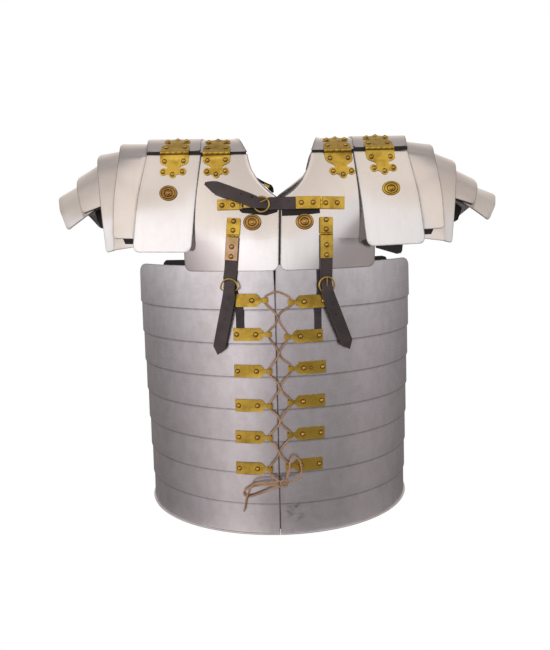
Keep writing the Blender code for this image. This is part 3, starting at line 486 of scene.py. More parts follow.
def rimShadeAndWear(rows):
    # 1 on the rim, 0 at its reach inside it; the dark rim is partly edge wear and partly painted shade
    border = list(rows[0]) + list(rows[-1]) + [row[0] for row in rows] + [row[-1] for row in rows]
    dense = []
    for a, b in zip(border, border[1:]):
        jump = (b - a).length > 20 * rimLook["spacing"]  # from one side of the plate to the next
        count = 1 if jump else max(int((b - a).length / rimLook["spacing"]), 1)
        dense.extend(a.lerp(b, k / count) for k in range(count))
    tree = nearTree(dense + [border[-1]])
    return [max(1 - tree.find(point)[2] / rimLook["reach"], 0.0) for row in rows for point in row]


def addWall(name, rows, thickness, inside, material, stands=(), bevel=0.0002, marks=None):
    rows = withNearRims(rows)
    darkening = rimShadeAndWear(rows)
    # marks add painted shade where it is darker than the rim's
    if marks:
        flat = [point for row in rows for point in row]
        darkening = [max(value, marks(point)) for value, point in zip(darkening, flat)]
    points, faces = wallMesh(rows, thickness, inside)
    made = addMesh(name, points, faces, material, bevel=bevel, darkening=darkening + darkening)
    if stands:
        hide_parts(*stands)
    return made


def bandMesh(stations):
    # a flat strap through stations of (middle of the back face, half width, thickness, outward)
    points, faces = [], []
    last = len(stations) - 1
    for i, (centre, half, thickness, outward) in enumerate(stations):
        ahead = stations[min(i + 1, last)][0] - stations[max(i - 1, 0)][0]
        across = ahead.cross(outward).normalized()
        faceOut = across.cross(ahead).normalized()
        for sideways, lifted in ((-1, 0), (1, 0), (1, 1), (-1, 1)):
            points.append(centre + across * half * sideways + faceOut * thickness * lifted)
    for i in range(last):
        for k in range(4):
            a, b = 4 * i + k, 4 * i + (k + 1) % 4
            faces.append((a, a + 4, b + 4, b))
    faces.append((0, 1, 2, 3))
    faces.append(tuple(4 * last + k for k in (3, 2, 1, 0)))
    return points, outwards(points, faces)


def addBand(name, stations, material, stands=(), bevel=0.0004, rim=None):
    points, faces = bandMesh(stations)
    made = addMesh(name, points, faces, material, bevel=bevel, rim=rim)
    if stands:
        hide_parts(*stands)
    return made


def latheMesh(centre, outward, profile, turns=20):
    # a round body about outward; profile runs from the rim to the middle as (radius, height)
    helper = Vector((0, 0, 1)) if abs(outward.z) < 0.9 else Vector((1, 0, 0))
    first = outward.cross(helper).normalized()
    second = outward.cross(first).normalized()
    points, faces = [], []
    for radius, height in profile:
        for k in range(turns):
            angle = 2 * math.pi * k / turns
            sideways = first * math.cos(angle) + second * math.sin(angle)
            points.append(centre + outward * height + sideways * radius)
    for i in range(len(profile) - 1):
        for k in range(turns):
            a, b = i * turns + k, i * turns + (k + 1) % turns
            faces.append((a, b, b + turns, a + turns))
    faces.append(tuple(reversed(range(turns))))
    last = (len(profile) - 1) * turns
    faces.append(tuple(range(last, last + turns)))
    return points, outwards(points, faces)


def mergeMeshes(parts):
    points, faces = [], []
    for somePoints, someFaces in parts:
        start = len(points)
        points.extend(somePoints)
        faces.extend(tuple(k + start for k in face) for face in someFaces)
    return points, faces


def addRope(name, points, radius, material, sides=3):
    curve = bpy.data.curves.new(name, "CURVE")
    curve.dimensions = "3D"
    curve.bevel_depth = radius
    curve.bevel_resolution = sides
    curve.use_fill_caps = True
    curve.resolution_u = 1
    line = curve.splines.new("POLY")
    line.points.add(len(points) - 1)
    for k, point in enumerate(points):
        line.points[k].co = (*point, 1.0)
    curve.materials.append(material)
    made = bpy.data.objects.new(name, curve)
    bpy.context.scene.collection.objects.link(made)
    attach(made, "root")
    return made


# Finishes

finishes = {
    "upperSteel": {
        "colour": (0.80, 0.775, 0.75),
        "dark": (0.62, 0.60, 0.59),
        "rough": 0.15,
        "grain": (520, 520, 16),
        "grainShare": 0.08,
        "bump": 0.000003,
        "stains": 0.12,
        "mottle": 0.10,
        "tarnish": (0.56, 0.50, 0.45),
        "metallic": 0.93,
        # colour of the dark rims and of the painted shade under overlapping plates
        "rim": (0.10, 0.092, 0.095),
        "rims": 0.85,
    },
    "girdleSteel": {
        "colour": (0.76, 0.75, 0.77),
        "dark": (0.50, 0.49, 0.50),
        "rough": 0.26,
        "grain": (16, 16, 620),
        "grainShare": 0.028,
        "bump": 0.0000004,
        "stains": 0.34,
        "mottle": 0.30,
        "tarnish": (0.50, 0.45, 0.42),
        "metallic": 0.94,
        # colour of the dark rims and of the painted shade under overlapping hoops
        "rim": (0.085, 0.078, 0.080),
        "rims": 0.80,
        "smudge": {  # a dark smear round one place of the lowest hoops
            "place": (0.0225, -0.166, -0.520),
            "reach": 0.018,
            "grain": (60, 60, 110),
            "share": 0.75,
        },
    },
    # every brass below: colour, dark patches, roughness, strength of the patches
    "brass": ((0.66, 0.45, 0.070), (0.27, 0.145, 0.022), 0.25, 0.75),
    "bronze": ((0.54, 0.31, 0.085), (0.17, 0.075, 0.025), 0.28, 0.8),
    "rivet": ((0.66, 0.42, 0.12), (0.22, 0.10, 0.03), 0.20, 0.7),
    "ring": ((0.60, 0.42, 0.12), (0.22, 0.13, 0.03), 0.24, 0.7),
    "copper": ((0.62, 0.40, 0.28), (0.50, 0.38, 0.12), 0.34, 0.9),
    # dark brass on the leaves' rounded edges, partly patina and partly painted shade; also the painted
    # shadow under the hinge knuckles
    "brassRim": ((0.22, 0.12, 0.022), (0.07, 0.035, 0.010), 0.45, 0.5),
    # dark rings of painted shade and dirt round rivets and rosettes
    "shadeAndGrime": ((0.080, 0.045, 0.015), (0.035, 0.020, 0.009), 0.6, 0.6),
    # every leather below: colour, dark patches, roughness
    "leather": ((0.056, 0.042, 0.042), (0.027, 0.021, 0.022), 0.50),
    "leatherRim": ((0.12, 0.075, 0.056), (0.04, 0.028, 0.026), 0.65),
    # keeper strips, dark as the girdle straps' painted shadow and reflection
    "keeperShadow": ((0.045, 0.037, 0.045), (0.018, 0.015, 0.018), 0.6),
    # nearly black: leathers between and under the plates and hole linings, darkened as painted shade
    "leatherInShade": ((0.012, 0.009, 0.009), (0.004, 0.003, 0.003), 0.65),
    "thong": ((0.46, 0.29, 0.175), (0.20, 0.115, 0.07), 0.65),
}

patterns = {  # noise: scale along each axis, detail, roughness; edges: patches begin, are full
    "stain": {"noise": ((14, 14, 22), 4.0, 0.6), "edges": (0.56, 0.74)},
    "mottle": {"noise": ((75, 75, 48), 5.0, 0.65), "edges": (0.40, 0.68)},
    "grain": {"detail": 4.0, "edges": (0.3, 0.7), "rough": (0.95, 1.06)},
    "rim": {"noise": ((160, 160, 160), 3.0), "edges": (0.3, 0.6), "least": 0.65},
    "patina": {"noise": ((70, 70, 70), 5.0, 0.6), "edges": (0.46, 0.74), "rough": (0.85, 1.5)},
    "darkening": {"noise": ((45, 45, 45), 4.0), "edges": (0.35, 0.7), "share": 0.8},
    "pores": {"noise": ((700, 700, 700), 4.0), "bump": 0.00003},
}


def newMaterial(name):
    material = bpy.data.materials.new(name)
    material.use_nodes = True
    return material, material.node_tree, material.node_tree.nodes["Principled BSDF"]


def feed(tree, socket, value):
    # a socket takes a link, a colour or a plain number
    if isinstance(value, bpy.types.NodeSocket):
        tree.links.new(value, socket)
    else:
        socket.default_value = (*value, 1.0) if isinstance(value, tuple) else value


def addNoise(tree, scale, detail=3.0, rough=0.55):
    place = tree.nodes.new("ShaderNodeTexCoord")
    mapping = tree.nodes.new("ShaderNodeMapping")
    mapping.inputs["Scale"].default_value = scale
    tree.links.new(place.outputs["Object"], mapping.inputs["Vector"])
    texture = tree.nodes.new("ShaderNodeTexNoise")
    texture.inputs["Scale"].default_value = 1.0
    texture.inputs["Detail"].default_value = detail
    texture.inputs["Roughness"].default_value = rough
    tree.links.new(mapping.outputs["Vector"], texture.inputs["Vector"])
    return texture.outputs["Fac"]


def remap(tree, value, low, high, toLow, toHigh):
    node = tree.nodes.new("ShaderNodeMapRange")
    for name, number in zip(("From Min", "From Max", "To Min", "To Max"), (low, high, toLow, toHigh)):
        node.inputs[name].default_value = number
    tree.links.new(value, node.inputs["Value"])
    return node.outputs["Result"]


def mixColour(tree, share, first, second, blend="MIX"):
    node = tree.nodes.new("ShaderNodeMix")
    node.data_type = "RGBA"
    node.blend_type = blend
    for socket, value in ((0, share), (6, first), (7, second)):
        feed(tree, node.inputs[socket], value)
    return node.outputs[2]


def calculate(tree, operation, first, second):
    node = tree.nodes.new("ShaderNodeMath")
    node.operation = operation
    for socket, value in zip(node.inputs, (first, second)):
        feed(tree, socket, value)
    return node.outputs[0]


def addBump(tree, shader, height, distance, strength=1.0):
    bump = tree.nodes.new("ShaderNodeBump")
    bump.inputs["Distance"].default_value = distance
    bump.inputs["Strength"].default_value = strength
    tree.links.new(height, bump.inputs["Height"])
    tree.links.new(bump.outputs["Normal"], shader.inputs["Normal"])


def addPatches(tree, name, share):
    pattern = patterns[name]
    return remap(tree, addNoise(tree, *pattern["noise"]), *pattern["edges"], 0.0, share)


def steelMaterial(name, look):
    material, tree, shader = newMaterial(name)
    grain = addNoise(tree, look["grain"], patterns["grain"]["detail"])
    colour = mixColour(tree, addPatches(tree, "stain", look["stains"]), look["colour"], look["dark"])
    colour = mixColour(tree, addPatches(tree, "mottle", look["mottle"]), colour, look["tarnish"])
    edges = patterns["grain"]["edges"]
    streak = remap(tree, grain, *edges, 0.0, look["grainShare"])
    colour = mixColour(tree, streak, colour, look["dark"])
    # the per-point attribute darkens rims and lap lines: partly edge wear, partly painted shade along
    # the rims and under the plate above
    rims = tree.nodes.new("ShaderNodeAttribute")
    rims.attribute_name = "darkening"
    rim = patterns["rim"]
    least, most = look["rims"] * rim["least"], look["rims"]
    uneven = remap(tree, addNoise(tree, *rim["noise"]), *rim["edges"], least, most)
    darkShare = calculate(tree, "MULTIPLY", rims.outputs["Fac"], uneven)
    colour = mixColour(tree, darkShare, colour, look["rim"])
    if "smudge" in look:
        colour = mixColour(tree, smudgeShare(tree, look["smudge"]), colour, look["rim"])
    tree.links.new(colour, shader.inputs["Base Color"])
    shader.inputs["Metallic"].default_value = look["metallic"]
    low, high = (look["rough"] * share for share in patterns["grain"]["rough"])
    tree.links.new(remap(tree, grain, *edges, low, high), shader.inputs["Roughness"])
    addBump(tree, shader, grain, look["bump"])
    return material


def smudgeShare(tree, smudge):
    place = tree.nodes.new("ShaderNodeTexCoord")
    distance = tree.nodes.new("ShaderNodeVectorMath")
    distance.operation = "DISTANCE"
    tree.links.new(place.outputs["Object"], distance.inputs[0])
    distance.inputs[1].default_value = smudge["place"]
    reach = smudge["reach"]
    near = remap(tree, distance.outputs["Value"], reach * 0.3, reach, 1.0, 0.0)
    patches = remap(tree, addNoise(tree, smudge["grain"], 4.0), 0.50, 0.62, 0.0, smudge["share"])
    return calculate(tree, "MULTIPLY", near, patches)


def brassMaterial(name, look):
    material, tree, shader = newMaterial(name)
    colour, dark, rough, strength = look
    pattern = patterns["patina"]
    patina = addNoise(tree, *pattern["noise"])
    share = remap(tree, patina, *pattern["edges"], 0.0, strength)
    tree.links.new(mixColour(tree, share, colour, dark), shader.inputs["Base Color"])
    shader.inputs["Metallic"].default_value = 0.9
    smooth, dull = (rough * share for share in pattern["rough"])
    tree.links.new(remap(tree, patina, 0.35, 0.7, smooth, dull), shader.inputs["Roughness"])
    addBump(tree, shader, patina, 0.0001)
    return material


def leatherMaterial(name, look):
    material, tree, shader = newMaterial(name)
    colour, dark, rough = look
    pores = addNoise(tree, *patterns["pores"]["noise"])
    darkShare = addPatches(tree, "darkening", patterns["darkening"]["share"])
    tree.links.new(mixColour(tree, darkShare, colour, dark), shader.inputs["Base Color"])
    shader.inputs["Roughness"].default_value = rough
    addBump(tree, shader, pores, patterns["pores"]["bump"], 0.8)
    return material


steel = steelMaterial("steel_upper", finishes["upperSteel"])
hoopSteel = steelMaterial("steel_girdle", finishes["girdleSteel"])
brass = brassMaterial("brass", finishes["brass"])
bronze = brassMaterial("bronze", finishes["bronze"])
rivetMetal = brassMaterial("rivet_heads", finishes["rivet"])
ringBrass = brassMaterial("ring_brass", finishes["ring"])
copper = brassMaterial("copper", finishes["copper"])
brassRim = brassMaterial("brass_rims", finishes["brassRim"])
shadeAndGrime = brassMaterial("shadeAndGrime", finishes["shadeAndGrime"])
leather = leatherMaterial("leather", finishes["leather"])
leatherRim = leatherMaterial("leather_cut", finishes["leatherRim"])
keeperShadowLeather = leatherMaterial("leather_keeper_shadows", finishes["keeperShadow"])
leatherInShade = leatherMaterial("leather_in_shade", finishes["leatherInShade"])
thong = leatherMaterial("thong", finishes["thong"])
print("finishes made")


# Lace

ties = {
    # heights and reach of the outer ends, left and right; distance off the hoops;
    # how much shorter the left one is
    "rows": (
        {"z": (-0.2205, -0.2240), "reach": (0.0607, 0.0682), "stand": 0.0015, "short": 0.0086},
        {"z": (-0.2664, -0.2703), "reach": (0.0570, 0.0625), "stand": 0.0, "short": 0.0},
        {"z": (-0.3168, -0.3139), "reach": (0.0575, 0.0665), "stand": 0.0, "short": 0.0},
        {"z": (-0.3650, -0.3608), "reach": (0.0577, 0.0648), "stand": 0.0, "short": 0.0},
        {"z": (-0.4103, -0.4070), "reach": (0.0590, 0.0635), "stand": 0.0, "short": 0.0},
        {"z": (-0.4560, -0.4519), "reach": (0.0598, 0.0605), "stand": 0.0, "short": 0.0},
    ),
    "outline": (  # distance along from the outer end, half height
        (0.0000, 0.0086),
        (0.0348, 0.0086),
        (0.0372, 0.0074),
        (0.0398, 0.0046),
        (0.0406, 0.0027),
        (0.0445, 0.0025),
    ),
    "length": 0.0515,
    "loop": {"wide": 0.0076, "high": 0.0066, "deep": 0.0046, "wall": 0.0009},
    "rivets": (0.0048, 0.0302),
    "smallRivet": {"side": 1, "row": 3, "along": 0.0205, "radius": 0.0015},
}

lacing = {
    "heights": (0.0052, 0.0, -0.0052),  # of a strand's points in a loop, from the loop's middle
    "crossing": (0.0036, 0.0075),  # half width and half height of the steepest part
    "lift": {1: 0.0072, -1: 0.0034},  # how far out the upper and the lower strand cross
    "arc": ((-0.0078, -0.2128, 0.0058), (0.0015, -0.2098, 0.0050), (0.0128, -0.2135, 0.0058)),
}


def sideIndex(side):
    return 0 if side < 0 else 1


def tieSeat(side, row):
    z = row["z"][sideIndex(side)]
    reach = ties["outline"][0][1] + stock["seam"]
    return z, flareBehind(z - reach, z + reach) + stock["seam"] + row["stand"]


def hoopNormal(point):
    return Vector((point.x * girdle["deep"] ** 2, point.y, 0)).normalized()


def tiePoint(side, row, along, up, out):
    z, seat = tieSeat(side, row)
    x = side * (row["reach"][sideIndex(side)] - along)
    point = girdleFront(x, z, seat)
    outward = hoopNormal(point)
    point = point + outward * out
    point.z = z + up
    return point, outward


def lacePoints():
    # the laced length: from the right tie of the last row up to the first row and down again
    loopMiddle = ties["length"] - 0.5 * ties["loop"]["wide"]
    deep = 0.5 * ties["loop"]["deep"]
    wide, high = lacing["crossing"]
    strands = {1: [], -1: []}
    for i, row in enumerate(ties["rows"]):
        startSide = -1 if i % 2 == 0 else 1
        for strand in (1, -1):
            side = strand * startSide
            for up in lacing["heights"]:
                point, _ = tiePoint(side, row, loopMiddle + 0.0004, up, deep)
                strands[strand].append(point)
            if i + 1 < len(ties["rows"]):
                after = ties["rows"][i + 1]
                middle = (sum(row["z"]) + sum(after["z"])) / 4
                inner = [r["reach"][k] - loopMiddle for r in (row, after) for k in (0, 1)]
                centre = (inner[1] + inner[3] - inner[0] - inner[2]) / 4
                out = girdle["flare"] + lacing["lift"][strand]
                strands[strand].append(girdleFront(centre + side * wide, middle + high, out))
                strands[strand].append(girdleFront(centre - side * wide, middle - high, out))
    arc = [girdleFront(*place) for place in lacing["arc"]]
    return list(reversed(strands[1])) + arc + strands[-1]


def smoothed(points, count):
    return [splineAt(points, (len(points) - 1) * k / (count - 1)) for k in range(count)]


bow = {  # x, height, distance out from the girdle's hoops
    "leftLoop": (
        (-0.0020, -0.4762, 0.0098),
        (-0.0100, -0.4768, 0.0092),
        (-0.0243, -0.4772, 0.0085),
        (-0.0363, -0.4800, 0.0075),
        (-0.0434, -0.4838, 0.0064),
        (-0.0485, -0.4874, 0.0056),
        (-0.0505, -0.4912, 0.0050),
        (-0.0492, -0.4953, 0.0046),
        (-0.0450, -0.4971, 0.0045),
        (-0.0390, -0.4958, 0.0046),
        (-0.0316, -0.4930, 0.0050),
        (-0.0195, -0.4880, 0.0058),
        (-0.0080, -0.4832, 0.0068),
        (0.0010, -0.4794, 0.0080),
    ),
    "freeEnd": (
        (-0.0020, -0.4722, 0.0112),
        (-0.0100, -0.4724, 0.0112),
        (-0.0243, -0.4728, 0.0110),
        (-0.0345, -0.4752, 0.0108),
        (-0.0405, -0.4815, 0.0104),
        (-0.0440, -0.4890, 0.0096),
        (-0.0462, -0.4975, 0.0078),
        (-0.0480, -0.5070, 0.0052),
        (-0.0506, -0.5199, 0.0042),
    ),
    "rightLoop": (
        (0.0125, -0.4722, 0.0112),
        (0.0165, -0.4710, 0.0112),
        (0.0231, -0.4698, 0.0106),
        (0.0280, -0.4665, 0.0098),
        (0.0309, -0.4592, 0.0088),
        (0.0303, -0.4512, 0.0084),
        (0.0287, -0.4443, 0.0084),
        (0.0255, -0.4397, 0.0084),
        (0.0209, -0.4383, 0.0084),
        (0.0169, -0.4412, 0.0084),
        (0.0150, -0.4463, 0.0085),
        (0.0143, -0.4530, 0.0087),
        (0.0132, -0.4610, 0.0092),
        (0.0100, -0.4672, 0.0098),
    ),
    "knot": (0.0062, -0.4742, 0.0088),
    # of the knot: half width, half height, turn, lean
    "turns": ((0.0050, 0.0040, 0.0, 0.5), (0.0042, 0.0046, 1.3, -0.6)),
}


def ropeLength(points):
    return sum((b - a).length for a, b in zip(points, points[1:]))


def addLace():
    laced = smoothed(lacePoints(), 300)
    lace = addRope("lace", laced, stock["lace"], thong)
    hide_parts("lace")
    print("lace length", round(ropeLength(laced), 4))
    knotMiddle = girdleFront(*bow["knot"])
    ends = sorted((laced[0], laced[-1]), key=lambda p: p.x)
    for side, start in zip((-1, 1), ends):
        route = [
            start,
            start + Vector((-side * 0.0010, -0.0010, -0.0035)),
            between(start, knotMiddle, 0.6) + Vector((side * 0.0012, -0.0022, -0.0008)),
            knotMiddle + Vector((side * 0.0026, -0.0006, 0.0006)),
        ]
        addRope("lace_to_knot_" + sideName(side), smoothed(route, 18), stock["lace"], thong)
    addKnot(knotMiddle)
    for name, key, farEnd in (
        ("lace_bow_left", "leftLoop", "object"),
        ("lace_bow_right", "rightLoop", "object"),
        ("lace_free_end", "freeEnd", "bare"),
    ):
        points = smoothed([girdleFront(*place) for place in bow[key]], 38)
        rope = addRope(name, points, stock["lace"], thong)
        tuple(points[0])
        round(ropeLength(points), 4)
        print(name, "length", round(ropeLength(points), 4))


def addKnot(middle):
    # two turns of the lace drawn tight about each other
    for k, (wide, high, turn, lean) in enumerate(bow["turns"]):
        loop = []
        for j in range(25):
            angle = 2 * math.pi * j / 24 * 0.985 + turn
            x = wide * math.cos(angle)
            z = high * math.sin(angle)
            y = -0.0006 - 0.0016 * math.sin(angle + lean) - 0.0010 * k
            loop.append(middle + Vector((x, y, z + lean * x * 0.6)))
        addRope(f"lace_knot_{k + 1}", loop, stock["lace"], thong)


addLace()
print("lace tied")


# Girdle

hoopLook = {
    "steps": 84,
    "bead": 0.0015,
    "shadeReach": 0.0034,  # painted shade: the dark line under the hoop above
    "shadeSteps": (0.0, 0.0008, 0.0018, 0.0034),
}


def armScoop(angle):
    # how far the first hoop's upper edge dips at an angle from the front
    turn = math.degrees(angle)
    start, full, rising, end = girdle["armhole"]
    if turn < start or turn > end:
        return 0.0
    if turn < full:
        return girdle["scoop"] * 0.5 * (1 - math.cos(math.pi * (turn - start) / (full - start)))
    if turn < rising:
        return girdle["scoop"]
    return girdle["scoop"] * 0.5 * (1 + math.cos(math.pi * (turn - rising) / (end - rising)))


def addHoop(side, i):
    top, hem = hoopLimits(i)
    lap = hoopLimits(i - 1)[1] if i > 0 else top
    flare, wedgeEnd = girdle["flare"], girdle["wedgeEnd"]
    levels = [top] + [between(top, hem, share) for share in (0.12, 0.2, 0.5, 0.8)] + [hem]
    if i > 0:
        levels = [top, lap + 0.0010] + [lap - d for d in hoopLook["shadeSteps"]]
        levels += [between(lap, hem, 0.5), hem]
    heights = [(z, flare * (top - z) / (top - hem)) for z in levels]
    if i == girdle["hoops"] - 1:  # the last hoop ends in the bead
        heights = heights[:-1] + [(hem + 0.0040, flare), (hem + 0.0012, flare + 0.0006)]
    rows = []
    for z, out in heights:
        gap = girdle["gap"]
        if i == 0 and z > wedgeEnd:
            gap = between(gap, girdle["wedge"], (z - wedgeEnd) / (girdle["top"] - wedgeEnd))
        reach = girdleReach(z) + out
        start = math.asin(0.5 * gap / reach)
        end = math.pi - math.asin(0.5 * girdle["gap"] / reach)
        row = []
        for k in range(hoopLook["steps"] + 1):
            angle = between(start, end, k / hoopLook["steps"])
            cut = armScoop(angle) * (z - hem) / (top - hem) if i == 0 else 0.0
            point = onGirdle(angle, z - cut, out)
            row.append(Vector((side * point.x, point.y, point.z)))
        rows.append(row)
    name = f"{sideName(side)}_{i + 1}"

    # painted shade: dark just under the hem of the hoop above, fading downward
    def shadeAndDirt(point):
        down = lap - point.z
        if i == 0 or down < -0.0005:
            return 0.0
        return max(1 - down / hoopLook["shadeReach"], 0.0) ** 2

    inside = Vector((0, 0, rows[0][0].z))
    node = "girdle_" + name
    addWall("hoop_" + name, rows, stock["plate"], inside, hoopSteel, [node], marks=shadeAndDirt)


def addRim(side):
    z = girdle["hem"] + 0.0010
    start = math.asin(0.5 * girdle["gap"] / girdleReach(z))
    points = []
    for k in range(97):
        point = onGirdle(between(start, math.pi - start, k / 96), z, girdle["flare"] + 0.0009)
        points.append(Vector((side * point.x, point.y, point.z)))
    addRope("hem_bead_" + sideName(side), points, hoopLook["bead"], hoopSteel, 2)


for side in (-1, 1):
    for i in range(girdle["hoops"]):
        addHoop(side, i)
    addRim(side)
print("girdle made")


# Collar plates

plateLook = {
    "across": 26,
    "turnedEdge": 0.0052,
    "turnedRise": 0.0013,
    "topGap": 0.0022,  # the front and back plates begin this far under the hinge line
    "crestGap": 0.0035,  # and the mid plates this far behind it
    "mid": {"inner": 0.0620, "outer": 0.118, "corner": 0.006},
    "widths": (0.106, 0.125),  # the outer edge at the top, and how far down it is at its full reach
    # rows of a chest plate by distance from the top, closer together where the crease is
    "rows": (
        0.066, 0.073, 0.081, 0.090, 0.100, 0.1104, 0.1109, 0.1114, 0.1120, 0.1126, 0.122, 0.131, 0.137,
    ),
    "crease": {"start": 0.0840, "right": 0.0949, "down": 0.1112, "fall": 0.030, "half": 0.0011},
}


def cornerStations(length, radius, middle, corner=5, both=True):
    # (distance along an edge, how far the plate is cut in there) with rounded corners
    stations = []
    for k in range(corner + 1):
        turn = 0.5 * math.pi * k / corner
        stations.append((radius * (1 - math.cos(turn)), radius * (1 - math.sin(turn))))
    end = length - radius if both else length
    for k in range(1, middle + 1):
        stations.append((between(radius, end, k / middle), 0.0))
    if both:
        for s, inset in reversed(stations[:corner]):
            stations.append((length - s, inset))
    return stations


def turnedShares(width, count):
    # places across a plate, close together where its edge turns outward
    edge = plateLook["turnedEdge"] / width
    near = [edge * k / 4 for k in range(4)]
    return near + [between(edge, 1.0, k / count) for k in range(count + 1)]


def turnedRise(distance):
    share = max(1 - distance / plateLook["turnedEdge"], 0.0)
    return plateLook["turnedRise"] * share**2


def meetingAt(down):
    # how far right of the shoulders' middle the front halves meet
    start, end = frontNeck[-1][0], collar["hingeZ"] - collar["hem"]
    share = min(max((down - start) / (end - start), 0.0), 1.0)
    return between(*collar["meeting"], share) * min(down / start, 1.0) ** 3


def addChestPlate(name, node, side, facing, neck):
    length = collar["hingeZ"] - collar["hem"]
    topGap = plateLook["topGap"]
    stations = [(k * 0.0035, 0.0) for k in range(18)] + [(down, 0.0) for down in plateLook["rows"]]
    lowerCorner = cornerStations(0.1, collar["corner"], 0)[:6]
    stations += [(length - s, inset) for s, inset in reversed(lowerCorner)]
    atTop, fullAt = plateLook["widths"]
    rows = []
    for down, inset in stations:
        inner = readColumn(neck, 1 + sideIndex(side), down) + inset
        if facing < 0:
            inner += side * meetingAt(down)
        outer = between(atTop, collar["outer"][sideIndex(side)], min(down / fullAt, 1.0)) - inset
        z = collar["hingeZ"] - topGap - down * (length - topGap) / length
        fade = min(max((neck[-1][0] + 0.004 - down) / 0.012, 0.0), 1.0)
        row = []
        for share in turnedShares(outer - inner, plateLook["across"]):
            x = collar["shift"] + side * between(inner, outer, share)
            rise = turnedRise((outer - inner) * share) * fade
            row.append(chestPoint(x, z, rise, facing))
        rows.append(row)

    def crease(point):
        # painted shade: the dark line of a crease across the lower part of the right breastplate
        line = plateLook["crease"]
        level = collar["hingeZ"] - topGap - line["down"] + line["fall"] * (line["right"] - point.x)
        if point.x < line["start"] or abs(point.z - level) > line["half"]:
            return 0.0
        depth = min((point.x - line["start"]) / 0.020, 1.0)
        return between(0.3, 0.95, depth) * (1 - abs(point.z - level) / line["half"])

    marks = crease if side > 0 > facing else None
    addWall(name, rows, stock["plate"], Vector((0, 0, -0.1)), steel, [node], marks=marks)


def crestRows():
    length = 2 * (collar["hingeY"] - plateLook["crestGap"])
    stations = cornerStations(length, plateLook["mid"]["corner"], 40, 4)
    return [(s - 0.5 * length, inset) for s, inset in stations]


def addMidCollar(side):
    rows = []
    end = collar["hingeY"] - 0.0012
    outer = plateLook["mid"]["outer"]
    for y in [-end] + [y for y, _ in crestRows()] + [end]:
        share = min(abs(y) / collar["hingeY"], 1.0)
        neck = frontNeck if y < 0 else backNeck
        inner = between(plateLook["mid"]["inner"], neck[0][1 + sideIndex(side)], share**2.2)
        row = []
        for part in turnedShares(outer - inner, 8):
            x = collar["shift"] + side * between(inner, outer, part)
            row.append(Vector((x, y, crestAt(side, abs(y)) + turnedRise((outer - inner) * part))))
        rows.append(row)
    name, inside = sideName(side), Vector((0, 0, -0.1))
    node = "mid_collar_" + name
    addWall("crest_plate_" + name, rows, stock["plate"], inside, steel, [node])


for side in (-1, 1):
    end = sideName(side)
    addChestPlate("chest_" + end, "breastplate_" + end, side, -1, frontNeck)
    addChestPlate("shoulder_blade_" + end, "backplate_" + end, side, 1, backNeck)
    addMidCollar(side)
print("collar made")


# Shoulder guards and lames


guardLook = {
    "hem": (-0.048, 0.0),  # where along its arches the left and the right guard begin
    "long": 0.120,
    "wide": 0.074,
    "corner": 0.0075,
    "top": {"inner": (0.1050, 0.0990), "outer": (0.1800, 0.1688)},  # reach at the middle, at the ends
}


def addGuardPlate(side, facing, name, node):
    rows = []
    long, wide, steps = guardLook["long"], guardLook["wide"], 12
    for s, inset in cornerStations(long, guardLook["corner"], 18, both=False):
        along = between(guardLook["hem"][sideIndex(side)], 3.0, s / long)
        row = []
        for j in range(steps + 1):
            across = inset / wide + (1 - 2 * inset / wide) * j / steps
            row.append(guardPoint(side, across, along, 0.0, facing))
        rows.append(row)
    inside = Vector((0.1 * side, 0, -0.1))
    addWall(name, rows, stock["plate"], inside, steel, [node])


def addGuardTop(side):
    rows = []
    lean = side * shoulder["sag"][1]
    for y, inset in crestRows():
        far = abs(y) / collar["hingeY"]
        inner = between(*guardLook["top"]["inner"], far**2)
        outer = between(*guardLook["top"]["outer"], far**2)
        row = []
        for j in range(9):
            share = j / 8
            x = collar["shift"] + side * between(inner + inset, outer - inset, share)
            z = crestAt(side, abs(y)) + collar["guardRise"] - lean * share * (1 - far)
            row.append(Vector((x, y, z)))
        rows.append(row)
    name, inside = sideName(side), Vector((0.1 * side, 0, -0.1))
    node = "guard_top_" + name
    addWall("crest_guard_" + name, rows, stock["plate"], inside, steel, [node])


def lameOut(lame, place, along):
    # a lame lies this far under the plate that overlaps it
    span = lames["span"] - 2 * lames["opening"]
    turn = min(max((along - lames["opening"]) / span, 0.0), 1.0)
    step = between(lames["step"], lame["crestStep"], math.sin(math.pi * turn) ** 2)
    return -step * (1.0 - place)


def lameGrid(side, lame, columns):
    # (place across, place along the arches) of every point, row by row from the front end
    form = shoulders[side]
    outer, corner = lame["outer"], lame["corner"]
    width = (form.bare(outer, 1.0) - form.bare(outer - 1, 1.0)).length

    def places(raised, inset):
        found = []
        for column in columns:
            place = column - inset * corner / width if column == columns[-1] else column
            share = (place + lame["lap"]) / (1.0 + lame["lap"])
            height = between(*lame["hems"], share) + raised * corner
            height -= lame["leftLower"] if side < 0 else 0.0
            found.append((place, form.placeAtHeight(outer - 1 + place, height)))
        return found

    turns = [0.5 * math.pi * k / 4 for k in range(5)]
    ends = [(1 - math.cos(turn), 1 - math.sin(turn)) for turn in turns]
    front = [places(raised, inset) for raised, inset in ends]
    back = [[(place, lames["span"] - along) for place, along in row] for row in reversed(front)]
    clear = max(along for _, along in front[-1]) + 0.08
    steps = 64
    middle = []
    for k in range(steps + 1):
        along = between(clear, lames["span"] - clear, k / steps)
        middle.append([(column, along) for column in columns])
    return front + middle + back


